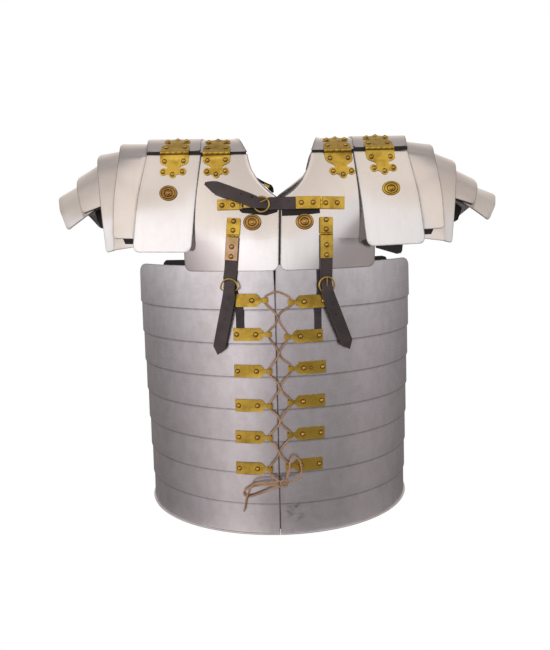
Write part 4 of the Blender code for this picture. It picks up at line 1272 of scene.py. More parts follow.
def addLame(side, lame):
    form = shoulders[side]
    columns = [-lame["lap"], -0.06, 0.0, 0.03, 0.07, 0.12, 0.25, 0.5, 0.75, 1.0]
    rows = []

    def place(across, along):
        return form.point(lame["outer"] - 1 + across, along, lameOut(lame, across, along))

    for row in lameGrid(side, lame, columns):
        rows.append([place(across, along) for across, along in row])
    name = f"lame_{sideName(side)}_{lame['name']}"
    edge = nearTree([place(0.0, lames["span"] * k / 200) for k in range(201)])

    def shadeAndDirt(point):
        # painted shade: dark along the edge of the plate above
        return max(1 - edge.find(point)[2] / 0.0045, 0.0) ** 1.5 * 0.8

    inside = Vector((0.12 * side, 0, -0.15))
    addWall("shoulder_" + name, rows, stock["plate"], inside, steel, [name], marks=shadeAndDirt)


for side in (-1, 1):
    end = sideName(side)
    addGuardPlate(side, -1, "guard_plate_front_" + end, "guard_front_" + end)
    addGuardPlate(side, 1, "guard_plate_back_" + end, "guard_back_" + end)
    addGuardTop(side)
    for lame in lames["pieces"]:
        addLame(side, lame)
print("shoulders made")


# Rivets and rosettes

rivet = {"radius": 0.0028, "height": 0.0023, "shadeAndDirt": 1.22}  # the last: reach in radii of the dark ring of painted shade and dirt round a head


def addRivets(name, seats, radius=rivet["radius"]):
    # round heads, each in a thin dark ring of painted shade and dirt
    high = rivet["height"] * radius / rivet["radius"]
    head = [(radius, -0.0002)]
    for k in range(6):
        turn = 0.5 * math.pi * k / 5.6
        head.append((radius * math.cos(turn), high * math.sin(turn)))
    reach = radius * rivet["shadeAndDirt"]
    shadeAndDirt = [(reach, 0.00002), (reach, 0.00005), (radius * 0.4, 0.00010)]
    points, faces = mergeMeshes([latheMesh(*seat, shadeAndDirt, 16) for seat in seats])
    addMesh(name + "_dirt", points, faces, shadeAndGrime, smooth=70)
    points, faces = mergeMeshes([latheMesh(*seat, head, 14) for seat in seats])
    addMesh(name, points, faces, rivetMetal, smooth=70)


rosettes = {
    "radius": 0.0114,
    "profile": (  # share of the radius, height
        (1.00, 0.0000), (1.00, 0.0006), (0.96, 0.0011), (0.86, 0.0013), (0.80, 0.0008), (0.74, 0.0007),
        (0.66, 0.0013), (0.56, 0.0014), (0.50, 0.0008), (0.42, 0.0007), (0.36, 0.0012), (0.28, 0.0013),
        (0.05, 0.0013),
    ),
    "shadeAndDirt": (  # dark rings of painted shade and dirt, round the rosette and in its grooves: outer and inner share of the radius, height
        (1.04, 0.90, 0.0001),
        (0.80, 0.755, 0.00085),
        (0.485, 0.45, 0.00085),
    ),
    "rivet": {"radius": 0.0029, "height": 0.0014},
    "seats": (  # plate, side, x, height, how high it is as a share of its width
        ("guard", -1, -0.1356, -0.0796, 0.84),
        ("guard", 1, 0.1544, -0.0800, 0.78),
        ("breast", -1, -0.0271, -0.1196, 0.88),
        ("breast", 1, 0.0406, -0.1201, 0.88),
    ),
}


def addRosette(plate, side, x, z, oval):
    point, outward = onGuard(side, x, z, 0.0) if plate == "guard" else onChest(x, z, 0.0)
    name = f"rosette_{plate}_{sideName(side)}"
    radius, foot = rosettes["radius"], point + outward * 0.0003
    up = (Vector((0, 0, 1)) - outward * outward.z).normalized()

    def pressed(points):
        return [p - up * (p - point).dot(up) * (1 - oval) for p in points]

    profile = [(radius * share, height) for share, height in rosettes["profile"]]
    points, faces = latheMesh(foot, outward, profile, 40)
    material = brass if plate == "guard" and side > 0 else bronze
    addMesh(name, pressed(points), faces, material, smooth=60)
    # dark rings of painted shade and dirt round the rosette and in its grooves
    rings = []
    for outer, inner, height in rosettes["shadeAndDirt"]:
        profile = [(radius * outer, height - 0.0001), (radius * outer, height), (radius * inner, height)]
        rings.append(latheMesh(foot, outward, profile, 40))
    points, faces = mergeMeshes(rings)
    addMesh(name + "_dirt", pressed(points), faces, shadeAndGrime)
    seat = (point + outward * rosettes["rivet"]["height"], outward)
    addRivets(name + "_rivet", [seat], rosettes["rivet"]["radius"])


for seat in rosettes["seats"]:
    addRosette(*seat)
print("rosettes made")


# Ties


def addTie(side, number, row):
    short = row["short"] if side < 0 else 0.0
    outline = [(max(along, short), half) for along, half in ties["outline"]]
    outline += [(along, -half) for along, half in reversed(outline)]
    dense = []
    for (a, u), (b, v) in zip(outline, outline[1:] + outline[:1]):
        count = max(int(abs(b - a) / 0.006), 1)
        for k in range(count):
            dense.append((between(a, b, k / count), between(u, v, k / count)))
    leaf = prismMesh(dense, lambda a, u, out: tiePoint(side, row, a, u, out)[0], 0.0, stock["leaf"])
    loop = ties["loop"]
    rings = []
    for wall in (0.0, loop["wall"]):
        wide, deep = loop["wide"] - 2 * wall, loop["deep"] - 2 * wall
        rings.append([(wide * 0.5 * c, deep * 0.5 * s) for c, s in roundedBox(wide, deep, 0.0011)])
    middle = ties["length"] - 0.5 * loop["wide"]
    points, faces = mergeMeshes([leaf, tubeLoopMesh(side, row, middle, loop, rings)])
    name = f"tie_{sideName(side)}_{number}"
    made = addMesh("brass_" + name, points, faces, brass, bevel=0.00035, rim=brassRim)
    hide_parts(name)
    seats = [tiePoint(side, row, along, 0.0, stock["leaf"]) for along in ties["rivets"] if along > short]
    addRivets("rivets_" + name, seats)
    small = ties["smallRivet"]
    if (side, number) == (small["side"], small["row"]):
        seat = tiePoint(side, row, small["along"], 0.0, stock["leaf"])
        addRivets("small_rivet_" + name, [seat], small["radius"])


def roundedBox(wide, deep, radius):
    # corners of a rounded rectangle as shares of its half sizes
    points = []
    for cx, cy, start in ((1, 1, 0), (-1, 1, 90), (-1, -1, 180), (1, -1, 270)):
        for k in range(5):
            angle = math.radians(start + 90 * k / 4)
            x = cx * (0.5 * wide - radius) + radius * math.cos(angle)
            y = cy * (0.5 * deep - radius) + radius * math.sin(angle)
            points.append((x / (0.5 * wide), y / (0.5 * deep)))
    return points


def tubeLoopMesh(side, row, middle, loop, rings):
    # an upright tube with a hole, which the lace runs through
    points, faces = [], []
    count = len(rings[0])
    for up in (-0.5 * loop["high"], 0.5 * loop["high"]):
        for ring in rings:
            for along, deep in ring:
                points.append(tiePoint(side, row, middle + along, up, 0.5 * loop["deep"] + deep)[0])
    outerLow, innerLow, outerHigh, innerHigh = 0, count, 2 * count, 3 * count
    for k in range(count):
        n = (k + 1) % count
        faces.append((outerLow + k, outerLow + n, outerHigh + n, outerHigh + k))
        faces.append((innerLow + n, innerLow + k, innerHigh + k, innerHigh + n))
        faces.append((outerHigh + k, outerHigh + n, innerHigh + n, innerHigh + k))
        faces.append((outerLow + n, outerLow + k, innerLow + k, innerLow + n))
    return points, outwards(points, faces)


def prismMesh(outline, place, low, high):
    # a plate with a flat outline, laid by place(x, y, out) from low to high
    points = [place(x, y, out) for out in (low, high) for x, y in outline]
    count = len(outline)
    caps = geometry.tessellate_polygon([[Vector((x, y, 0)) for x, y in outline]])
    faces = [(i, (i + 1) % count, (i + 1) % count + count, i + count) for i in range(count)]
    used = {(f[k], f[(k + 1) % 4]) for f in faces for k in range(4)}
    for a, b, c in caps:
        for face in ((a + count, b + count, c + count), (c, b, a)):
            edges = [(face[k], face[(k + 1) % 3]) for k in range(3)]
            faces.append(face if not any(e in used for e in edges) else tuple(reversed(face)))
    return points, outwards(points, faces)


for side in (-1, 1):
    for number, row in enumerate(ties["rows"], start=1):
        addTie(side, number, row)
print("ties made")


# Lobed hinges

hinges = {
    "knuckle": 0.0023,
    "knuckles": 5,
    "knuckleGap": 0.0006,
    "rise": 0.0006,  # of the leaves above the plates
    "upperLength": 0.041,
    "edge": (  # a leaf's side from the pin to the lobes: share of the half width, share of the length
        (1.0, 0.0), (1.0, 0.10), (1.0, 0.20), (0.97, 0.27), (0.88, 0.335), (0.72, 0.385), (0.54, 0.43),
        (0.44, 0.475), (0.42, 0.52), (0.46, 0.555),
    ),
    "lobe": 0.0048,
    "lobes": ((-0.67, 0.70, 62, 318), (0.0, 0.83, 188, 352), (0.67, 0.70, 222, 478)),  # middle, degrees
    "rivets": {"place": (0.66, 0.20), "radius": 0.0026},
    "pieces": (
        {
            "name": "collar_hinge",
            "reach": 0.0785,
            "half": 0.0178,
            "lift": 0.0,
            "left": {"drop": 0.0285, "lean": 0.0015},
            "right": {"drop": 0.0330, "lean": 0.0080},
        },
        {
            "name": "guard_hinge",
            "reach": 0.1325,
            "half": 0.0185,
            "lift": 0.0016,
            "left": {"drop": 0.0265, "lean": 0.0045},
            "right": {"drop": 0.0285, "lean": 0.0075},
        },
    ),
}


def seatOn(place):
    # a rivet's seat from a function that gives the point at a distance out of the plate
    point = place(0.0)
    return point, (place(0.002) - point).normalized()


def leafOutline(half, length):
    # a leaf that ends in three lobes, with the lobes' middles
    lobe = hinges["lobe"]
    edge = [(-half * wide, -down * length) for wide, down in hinges["edge"]]
    points, centres = list(edge), []
    for across, down, start, end in hinges["lobes"]:
        x, y = half * across, -down * length
        centres.append((x, y))
        for k in range(17):
            angle = math.radians(between(start, end, k / 16))
            points.append((x + lobe * math.cos(angle), y + lobe * math.sin(angle)))
    points += [(-x, y) for x, y in reversed(edge)]
    return points, centres


def addLobedHinge(side, hinge):
    middle = collar["shift"] + side * hinge["reach"]
    rise, lift, half, radius = hinges["rise"], hinge["lift"], hinge["half"], hinges["knuckle"]
    drop, lean = hinge[sideName(side)]["drop"], hinge[sideName(side)]["lean"]
    centre = Vector((middle, -collar["hingeY"] - lift - 0.0022, collar["hingeZ"] + lift))

    def lower(x, down, out):
        if down <= 0:
            return centre + Vector((x, 0.0010 - out, 0))
        across = middle + x + side * lean * down / drop
        if lift > 0:
            return onGuard(side, across, collar["hingeZ"] - 0.004 - down, out)[0]
        return onChest(across, collar["hingeZ"] - 0.0035 - down, out)[0]

    def upper(x, up, out):
        if up <= 0:
            return centre + Vector((x, 0.0010 - out, 0.0004))
        ahead = collar["hingeY"] - 0.0035 - up * 0.87
        return Vector((middle + x, -ahead - 0.4 * out, crestAt(side, ahead) + lift + out))

    parts, seats = [], []
    top = rise + stock["leaf"]
    across, down = hinges["rivets"]["place"]
    for place, length in ((lower, drop), (upper, hinges["upperLength"])):
        outline, centres = leafOutline(half, length)
        parts.append(prismMesh(outline, lambda x, y, out: place(x, -y, out), rise, top))
        for x, y in centres + [(-half * across, -down * length), (half * across, -down * length)]:
            seats.append(seatOn(lambda out: place(x, -y, top + out)))
    pieces, gap = hinges["knuckles"], 0.5 * hinges["knuckleGap"]
    for k in range(pieces):
        start = between(-half, half, k / pieces) + gap
        long = between(-half, half, (k + 1) / pieces) - gap - start
        small = radius * 0.86
        profile = [(small, 0.0), (radius, 0.0004), (radius, long - 0.0004), (small, long)]
        parts.append(latheMesh(centre + Vector((start, 0, 0)), Vector((1, 0, 0)), profile, 16))
    points, faces = mergeMeshes(parts)
    name = f"{hinge['name']}_{sideName(side)}"
    made = addMesh("brass_" + name, points, faces, brass, bevel=0.0004, rim=brassRim)
    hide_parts(name)
    addRivets("rivets_" + name, seats, hinges["rivets"]["radius"])
    # a dark rod under the knuckles: painted shadow of the knuckles on the lower leaf
    ends = (-1.0, -0.5, 0.0, 0.5, 1.0)
    knuckleShadow = [centre + Vector((x * half, -0.0006, -radius - 0.0003)) for x in ends]
    addRope("groove_" + name, knuckleShadow, 0.0006, brassRim)


for side in (-1, 1):
    for hinge in hinges["pieces"]:
        addLobedHinge(side, hinge)
print("hinges made")


# Straps and buckles

straps = {
    "half": 0.0086,
    "fold": -0.1365,
    "leafEnd": -0.1680,
    "pass": 0.0044,
    "waist": 0.0075,
    "knuckle": 0.0019,
    "girdle": (  # places as (x, height); holes as shares of the tail
        {
            "side": "left",
            "top": (-0.0508, -0.1135),
            "ring": (-0.0587, -0.2034),
            "radius": 0.0117,
            "below": 0.45,  # height of the ring's lower half as a share of the radius
            "tip": (-0.0780, -0.2940),
            "plateRivets": (-0.1178, -0.1292),
            "strapRivets": (-0.1504, -0.1629),
            "holes": (0.02, 0.20, 0.38),
        },
        {
            "side": "right",
            "top": (0.0685, -0.1150),
            "ring": (0.0672, -0.2030),
            "radius": 0.0105,
            "below": 1.0,
            "tip": (0.0985, -0.2920),
            "plateRivets": (-0.1184, -0.1305),
            "strapRivets": (-0.1506, -0.1637),
            "holes": (0.19, 0.36),
        },
    ),
    # the tail: share of its length and width, the point at its end
    "tail": tuple((0.10 + 0.11 * k, 1.0) for k in range(7))
    + ((0.865, 1.0), (0.885, 0.93), (0.94, 0.5), (1.0, 0.05)),
    "leafWidths": (0.92, 1.04, 1.06, 1.06, 1.06, 1.06),
}


def strapLayers():
    # how far out of the breastplate the strap, the ring's wire and the tail lie
    strapOut = 2 * stock["seam"]
    wireOut = strapOut + stock["leather"] + stock["seam"] + stock["wire"]
    return strapOut, wireOut, wireOut + stock["wire"] + stock["seam"]


def addLeaf(name, stations, material=brass):
    addBand(name, stations, material, bevel=0.00035, rim=brassRim)


def station(x, z, out, half, thickness):
    point, outward = onChest(x, z, out)
    return point, half, thickness, outward


def addGirdleStrap(strap):
    topX, topZ = strap["top"]
    ringX, ringZ = strap["ring"]
    tipX, tipZ = strap["tip"]
    strapOut, wireOut, tailOut = strapLayers()
    half, fold, leafEnd = straps["half"], straps["fold"], straps["leafEnd"]
    waist, reach, radius = straps["waist"], straps["pass"], strap["radius"]
    thick, leaf = stock["leather"], stock["leaf"]
    name = strap["side"]

    def xAt(z):
        return between(topX, ringX, (topZ - z) / (topZ - ringZ))

    def at(z, out, thickness, wide=1.0):
        return station(xAt(z), z, out, half * wide, thickness)

    def onTail(share):
        x, z = between(ringX, tipX, share), between(ringZ - radius, tipZ, share)
        return x, z, between(tailOut, 4 * stock["seam"], share)

    upper, lower = fold - 0.0030, collar["hem"] + 0.0030
    stations = [at(between(upper, lower, k / 9), strapOut, thick) for k in range(10)]
    stations += [
        station(ringX, ringZ + radius, strapOut, half, thick),
        station(ringX, ringZ + reach, strapOut, waist, thick),
        station(ringX, ringZ, between(strapOut, tailOut, 0.5), waist, thick),
        station(ringX, ringZ - reach, tailOut, waist, thick),
        station(ringX, ringZ - radius + 0.0010, tailOut, half, thick),
    ]
    stations += [station(*onTail(share), half * wide, thick) for share, wide in straps["tail"]]
    node = "girdle_strap_" + name
    addBand("strap_" + name, stations, leather, [node], 0.0004, leatherRim)

    places = [topZ] + [between(topZ - 0.0012, fold + 0.0014, k / 4) for k in range(5)]
    plateLeaf = [at(z, 0.0006, leaf, wide) for z, wide in zip(places, straps["leafWidths"])]
    addLeaf("strap_plate_leaf_" + name, plateLeaf)
    over = strapOut + thick + 0.0001
    strapLeaf = [at(between(fold - 0.0014, leafEnd, k / 5), over, leaf) for k in range(6)]
    addLeaf("strap_leaf_" + name, strapLeaf, copper if name == "left" else brass)
    addKnuckle("strap_knuckle_" + name, onChest(xAt(fold), fold, 0.0022), half, straps["knuckle"])
    seats = [onChest(xAt(z), z, 0.0006 + leaf) for z in strap["plateRivets"]]
    seats += [onChest(xAt(z), z, over + leaf) for z in strap["strapRivets"]]
    addRivets("strap_rivets_" + name, seats)
    holes = [onTail(share) for share in strap["holes"]]
    addHoles("strap_holes_" + name, [onChest(x, z, out + thick) for x, z, out in holes])
    addGirdleBuckle(strap, wireOut)


def addKnuckle(name, seat, half, radius, upright=False):
    # three short tubes in a row
    centre, outward = seat
    axis = Vector((0, 0, 1)) if upright else outward.cross(Vector((0, 0, 1))).normalized()
    length, small = 2 * half / 3 - 0.0004, radius * 0.85
    profile = [(small, 0.0), (radius, 0.0003), (radius, length - 0.0003), (small, length)]
    starts = [between(-half, half, k / 3) + 0.0002 for k in range(3)]
    parts = [latheMesh(centre + axis * start, axis, profile, 14) for start in starts]
    points, faces = mergeMeshes(parts)
    addMesh(name, points, faces, brass)


def addHoles(name, seats, radius=0.0016):
    # painted shade in the punched holes: dark linings, flush with the leather
    profile = [(radius, -0.0004), (radius, 0.00012), (radius * 0.8, 0.00016)]
    profile += [(radius * 0.7, -0.0001), (0.0003, -0.0002)]
    points, faces = mergeMeshes([latheMesh(*seat, profile, 12) for seat in seats])
    addMesh(name, points, faces, leatherInShade)


def ringMesh(centre, axis, major, minor, below=1.0):
    # below is the height of the lower half as a share of the radius
    turns, sides = 44, 12
    helper = Vector((1, 0, 0)) if abs(axis.x) < 0.9 else Vector((0, 0, 1))
    first = axis.cross(helper).normalized()
    second = axis.cross(first).normalized()
    points, faces = [], []
    for i in range(turns):
        angle = 2 * math.pi * i / turns
        out = first * math.cos(angle) + second * math.sin(angle)
        for j in range(sides):
            tilt = 2 * math.pi * j / sides
            place = out * (major + minor * math.cos(tilt)) + axis * minor * math.sin(tilt)
            place.z *= below if out.z < 0 else 1.0
            points.append(centre + place)
    for i in range(turns):
        for j in range(sides):
            a, b = i * sides + j, i * sides + (j + 1) % sides
            c, d = (i + 1) % turns * sides + j, (i + 1) % turns * sides + (j + 1) % sides
            faces.append((a, b, d, c))
    return points, outwards(points, faces)


def addGirdleBuckle(strap, wireOut):
    x, z = strap["ring"]
    name = "girdle_buckle_" + strap["side"]
    centre, outward = onChest(x, z, wireOut)
    radius = strap["radius"]
    parts = [ringMesh(centre, outward, radius, stock["wire"], strap["below"])]
    barZ = z - radius
    half, leaf, seam = 0.68 * straps["half"], stock["leaf"], stock["seam"]
    wrap = plateStand + wireOut - flareAt(barZ) - seam  # the plate's fold round the ring
    stations = []
    fold = ((0.0018, wrap), (-0.0008, wrap), (-0.0009, leaf), (-0.0045, leaf), (-0.0085, leaf))
    for up, thick in fold:
        height = barZ + up
        stations.append((girdleFront(x, height, flareAt(height) + seam), half, thick, outward))
    parts.append(bandMesh(stations))
    points, faces = mergeMeshes(parts)
    made = addMesh("brass_" + name, points, faces, ringBrass, bevel=0.0002)
    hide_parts(name)
    if strap["side"] == "left":  # its tongue is hidden under the tail
        return
    up = Vector((0, 0, 1))
    tongue = [
        centre - up * (radius - 0.001) - outward * 0.0006,
        centre - up * 0.006 + outward * 0.0006,
        centre - up * 0.001 + outward * 0.0012,
        centre + up * radius + outward * 0.0012,
    ]
    addRope("tongue_" + name, smoothed(tongue, 12), 0.0007, rivetMetal)


for strap in straps["girdle"]:
    addGirdleStrap(strap)
print("girdle straps made")


chestStrap = {
    "z": -0.0965,
    "radius": 0.0098,
    "drop": 0.0012,
    "right": 0.0930,
    "hinge": 0.0625,
    "leafEnd": 0.0290,
    "ringX": -0.0145,
    "tip": (-0.0860, -0.0700),
    "plateLeft": -0.0722,
    "plateHinge": -0.0425,
    "rivets": {"plate": (0.0683, 0.0833), "strap": (0.0364, 0.0514), "left": (-0.0656, -0.0517)},
    "holes": (0.0047, 0.0202),
    "tailHoles": ((-0.0260, -0.0889), (-0.0398, -0.0854)),
    "tail": (  # share of its length, width, how far the middle lies above the straight line
        (0.15, 1.00, 0.0), (0.30, 1.00, 0.0), (0.50, 1.00, 0.0), (0.70, 1.00, 0.0),
        (0.79, 0.98, 0.0), (0.87, 0.72, 0.0004), (0.95, 0.42, 0.0002), (1.00, 0.20, 0.0),
    ),
}


def addChestStrap():
    strapOut, wireOut, tailOut = strapLayers()
    half, z = 0.94 * straps["half"], chestStrap["z"]
    thick, leaf = stock["leather"], stock["leaf"]
    ringX, ring, hinge = chestStrap["ringX"], chestStrap["radius"], chestStrap["hinge"]
    rows = [(between(hinge - 0.0030, ringX + ring, k / 9), z, strapOut, 1.0) for k in range(10)]
    rows += [
        (ringX + straps["pass"], z, strapOut, 0.82),
        (ringX, z, between(strapOut, tailOut, 0.5), 0.79),
        (ringX - straps["pass"], z, tailOut, 0.82),
        (ringX - ring + 0.0010, z + 0.0015, tailOut, 1.0),
    ]
    tipX, tipZ = chestStrap["tip"]
    startX, startZ = ringX - ring, z + 0.0025
    for share, wide, rise in chestStrap["tail"]:
        x, height = between(startX, tipX, share), between(startZ, tipZ, share) + rise
        rows.append((x, height, tailOut + 0.001 * share, wide))
    stations = [station(x, height, out, half * wide, thick) for x, height, out, wide in rows]
    addBand("strap_chest", stations, leather, ["chest_strap"], 0.0004, leatherRim)

    plateLeaf, strapLeaf = [], []
    over = strapOut + thick + 0.0001
    for share in (0.0, 0.25, 0.5, 0.75, 1.0):
        x = between(chestStrap["right"], hinge + 0.0014, share)
        plateLeaf.append(station(x, z - 0.001 * (1 - share), strapOut, half, leaf))
        x = between(hinge - 0.0014, chestStrap["leafEnd"], share)
        strapLeaf.append(station(x, z, over, half, leaf))
    addLeaf("chest_plate_leaf", plateLeaf)
    addLeaf("chest_strap_leaf", strapLeaf)
    addKnuckle("chest_knuckle", onChest(hinge, z, 0.0026), half - 0.0002, 0.0018, True)
    rivets = chestStrap["rivets"]
    seats = [onChest(x, z - 0.0006, strapOut + leaf) for x in rivets["plate"]]
    seats += [onChest(x, z, over + leaf) for x in rivets["strap"]]
    seats += [onChest(x, z - 0.0006, strapOut + leaf) for x in rivets["left"]]
    addRivets("chest_strap_rivets", seats)
    holes = [onChest(x, z + 0.0015, strapOut + thick) for x in chestStrap["holes"]]
    holes += [onChest(x, height, tailOut + thick + 0.0004) for x, height in chestStrap["tailHoles"]]
    addHoles("chest_strap_holes", holes, 0.0013)
    addChestBuckle(wireOut, strapOut)


def addChestBuckle(wireOut, strapOut):
    z, radius, wire = chestStrap["z"], chestStrap["radius"], stock["wire"]
    centre, outward = onChest(chestStrap["ringX"], z - chestStrap["drop"], wireOut)
    left, hinge = chestStrap["plateLeft"], chestStrap["plateHinge"]
    grip = chestStrap["ringX"] - radius
    armHalf, leafHalf = straps["half"] * 0.62, straps["half"] * 0.80
    arm = [
        station(hinge + 0.0050, z, 2 * strapOut, armHalf, 0.0016),
        station(grip - 0.0040, z, wireOut - wire, armHalf, 0.0016),
        station(grip + 0.0006, z, wireOut - 0.9 * wire, armHalf, 0.0018),
    ]
    leaf = [station(between(left, hinge, k / 4), z, strapOut, leafHalf, stock["leaf"]) for k in range(5)]
    addLeaf("chest_buckle_leaf", leaf)
    points, faces = mergeMeshes([ringMesh(centre, outward, radius, wire), bandMesh(arm)])
    made = addMesh("brass_chest_buckle", points, faces, ringBrass, bevel=0.0002)
    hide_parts("chest_buckle")
    addKnuckle("chest_buckle_knuckle", onChest(hinge + 0.0026, z, 0.0026), leafHalf, 0.0017, True)
    side = Vector((1, 0, 0))
    tongue = [
        centre - side * radius + outward * 0.0003,
        centre - side * 0.003 + outward * 0.0008 + Vector((0, 0, 0.002)),
        centre + side * 0.003 + outward * 0.0016 + Vector((0, 0, 0.004)),
        centre + side * (radius - 0.001) + outward * 0.0016 + Vector((0, 0, 0.0065)),
    ]
    addRope("chest_buckle_tongue", smoothed(tongue, 12), 0.0007, rivetMetal)


def dressBackStrap():
    # the strap behind the neck keeps the solid's own shape
    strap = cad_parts["back_strap"]
    for slot in strap.material_slots:
        slot.material = leather
    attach(strap, "root")


addChestStrap()
dressBackStrap()
print("chest strap made")


# Dark leathers that show between the plates, painted nearly black as shade

leathers = {
    "keeperShadows": (  # the middle from top to bottom, half width
        {
            "name": "left",
            "line": (
                (-0.0544, -0.1800), (-0.0544, -0.2090), (-0.0484, -0.2270), (-0.0473, -0.2390),
                (-0.0473, -0.2600),
            ),
            "half": 0.0055,
        },
        {
            "name": "right",
            "line": (
                (0.0600, -0.1800), (0.0600, -0.2120), (0.0568, -0.2270), (0.0564, -0.2400),
                (0.0564, -0.2640),
            ),
            "half": 0.0048,
        },
    ),
    "underStrapTop": -0.0985,
    "underStrap": {  # along the chest strap: x, lower edge
        "left": ((-0.0403, -0.1040), (-0.0395, -0.1073), (-0.0095, -0.1113), (0.0090, -0.1062)),
        "right": ((0.0112, -0.1125), (0.0300, -0.1122), (0.0500, -0.1108), (0.0632, -0.1097)),
    },
    "aboveGirdle": {
        "left": ((-0.1562, -0.1800), (-0.1540, -0.1718), (-0.1500, -0.1682), (-0.1180, -0.1672)),
        "right": ((0.1300, -0.1692), (0.1500, -0.1692), (0.1560, -0.1710), (0.1610, -0.1800)),
    },
    "guardTab": (
        (0.1330, -0.1500), (0.1348, -0.1565), (0.1623, -0.1650), (0.1672, -0.1640), (0.1690, -0.1612),
        (0.1702, -0.1500),
    ),
    "hinge": {"thick": 0.0007, "low": -0.0334, "high": -0.0287},
    "behindHinges": {"collar": (0.1050, 0.1462), "guard": (0.1688, 0.1476)},  # outer end, distance ahead
    "lames": (  # name, across the arches, height of the lower edge left and right, drop, out
        ("2", (1.04, 1.90), {-1: (-0.1373, -0.1364), 1: (-0.1338, -0.1329)}, 0.0066, -0.0028),
        ("4", (3.02, 3.88), {-1: (-0.0916, -0.1015), 1: (-0.0916, -0.1015)}, 0.0034, -0.0030),
    ),
    "shoulderTabs": {
        "left": ((-0.2500, -0.0940), (-0.2410, -0.0880), (-0.2416, -0.1221), (-0.2470, -0.1106)),
        "right": ((0.2520, -0.0960), (0.2650, -0.1060), (0.2597, -0.1226), (0.2520, -0.1268)),
    },
    "nape": (  # along the back collar's edge: x, height, half width
        (-0.0330, -0.0380, 0.0006),
        (-0.0271, -0.0410, 0.0010),
        (-0.0180, -0.0478, 0.0022),
        (-0.0090, -0.0532, 0.0030),
        (-0.0050, -0.0560, 0.0046),
        (-0.0020, -0.0600, 0.0044),
        (0.0015, -0.0662, 0.0014),
    ),
    "napeBrass": (-0.0098, -0.0545),
}


def addPatch(name, outline, place, thickness):
    points, faces = prismMesh(outline, place, 0.0, thickness)
    addMesh(name, points, faces, leatherInShade)


def addKeeperShadows():
    # dark keeper strips under the girdle straps: painted shadow and reflection of the straps on the
    # hoops
    for keeperShadow in leathers["keeperShadows"]:
        stations = []
        line = [Vector((x, z, 0)) for x, z in keeperShadow["line"]]
        for x, z, _ in smoothed(line, 17):
            point = girdleFront(x, z, flareBehind(z - 0.006, z + 0.006) + 0.0003)
            stations.append((point, keeperShadow["half"], 0.0011, hoopNormal(point)))
        addBand("keeper_" + keeperShadow["name"], stations, keeperShadowLeather, bevel=0.0003)


def addUnderStrap():
    # nearly black strips under the chest strap: partly a leather underlay, partly painted shadow of the
    # strap on the breastplates
    top = leathers["underStrapTop"]
    for name, line in leathers["underStrap"].items():
        edge = [Vector((x, z, 0)) for x, z in line]
        stations = []
        for a, b in zip(edge, edge[1:]):
            for k in range(5):
                x, low = between(a.x, b.x, k / 5), between(a.y, b.y, k / 5)
                stations.append(station(x, (low + top) / 2, 0.0001, (top - low) / 2, 0.0006))
        addBand("under_strap_" + name, stations, leatherInShade, bevel=0.0001)


def addInnerLeathers():
    def inGirdle(x, z, out):
        return girdleFront(x, z, out - stock["plate"] - 0.0022)

    def inGuard(x, z, out):
        return onGuard(1, x, z, out - 0.0030)[0]

    def inShoulder(x, z, out):
        return Vector((x, -0.094 - out, z))

    for name, line in leathers["aboveGirdle"].items():
        outline = line + ((line[-1][0], -0.1900), (line[0][0], -0.1900))
        addPatch("inner_leather_" + name, outline, inGirdle, 0.0015)
    addPatch("guard_tab_right", leathers["guardTab"], inGuard, 0.0015)
    for name, outline in leathers["shoulderTabs"].items():
        addPatch("shoulder_tab_" + name, outline, inShoulder, 0.0020)
    # nearly black strips inside the lames' lower edges: painted shade between the plates
    for side in (-1, 1):
        form, inside = shoulders[side], Vector((0.12 * side, 0, -0.15))
        for label, across, hems, drop, out in leathers["lames"]:
            rows = []
            for up in (-drop, 0.0, 0.006):
                row = []
                for k in range(7):
                    place = between(*across, k / 6)
                    height = between(*hems[side], k / 6) + up
                    row.append(form.point(place, form.placeAtHeight(place, height), out))
                rows.append(row)
            name = f"lame_leather_{sideName(side)}_{label}"
            addWall(name, rows, 0.0005, inside, leatherInShade, bevel=0)


def addCrossLeather(name, side, ends, lift, y, facing):
    # a plain strip inside the joint of two shoulder plates, nearly black as painted shade in the joint
    look = leathers["hinge"]
    middle, half = (look["low"] + look["high"]) / 2 + lift, (look["high"] - look["low"]) / 2
    stations = []
    for k in range(9):
        x = collar["shift"] + side * between(*ends, k / 8)
        stations.append((Vector((x, y, middle)), half, look["thick"], Vector((0, facing, 0))))
    addBand(f"{name}_leather_{sideName(side)}", stations, leatherInShade, bevel=0)


def addHingeLeathers():
    thick = leathers["hinge"]["thick"]
    for side in (-1, 1):
        inner = {"collar": frontNeck[0][1 + sideIndex(side)] + 0.0012, "guard": 0.0990}
        lifts = {"collar": 0.0, "guard": collar["guardRise"]}
        for name, (outer, ahead) in leathers["behindHinges"].items():
            ends = (inner[name], outer)
            addCrossLeather(name + "_hinge", side, ends, lifts[name], thick - ahead, -1)


def addNape():
    # a dark strip inside the back collar's neck edge: painted shade for the back plates' shaded inner
    # faces; and a small brass bit
    ahead = Vector((0, -1, 0))
    stations = []
    for x, z, half in leathers["nape"]:
        y = chestDepth(x, z) - stock["plate"] - 0.0024
        stations.append((Vector((x, y + 0.0016, z)), half, 0.0016, ahead))
    addBand("nape_shade", stations, leatherInShade, bevel=0.0002)
    x, z = leathers["napeBrass"]
    y = chestDepth(x, z) - stock["plate"] - 0.0026
    stations = []
    for k in (-1, 0, 1):
        stations.append((Vector((x + 0.0045 * k, y, z - 0.0022 * k)), 0.0022, 0.0009, ahead))
    addBand("nape_brass", stations, brass, bevel=0.0002)


addKeeperShadows()
addUnderStrap()
addInnerLeathers()
addHingeLeathers()
addNape()
print("dark leathers made")


# Joints of the girdle's halves

jointLook = {"half": 0.009, "inside": 0.0034, "thick": 0.0016}


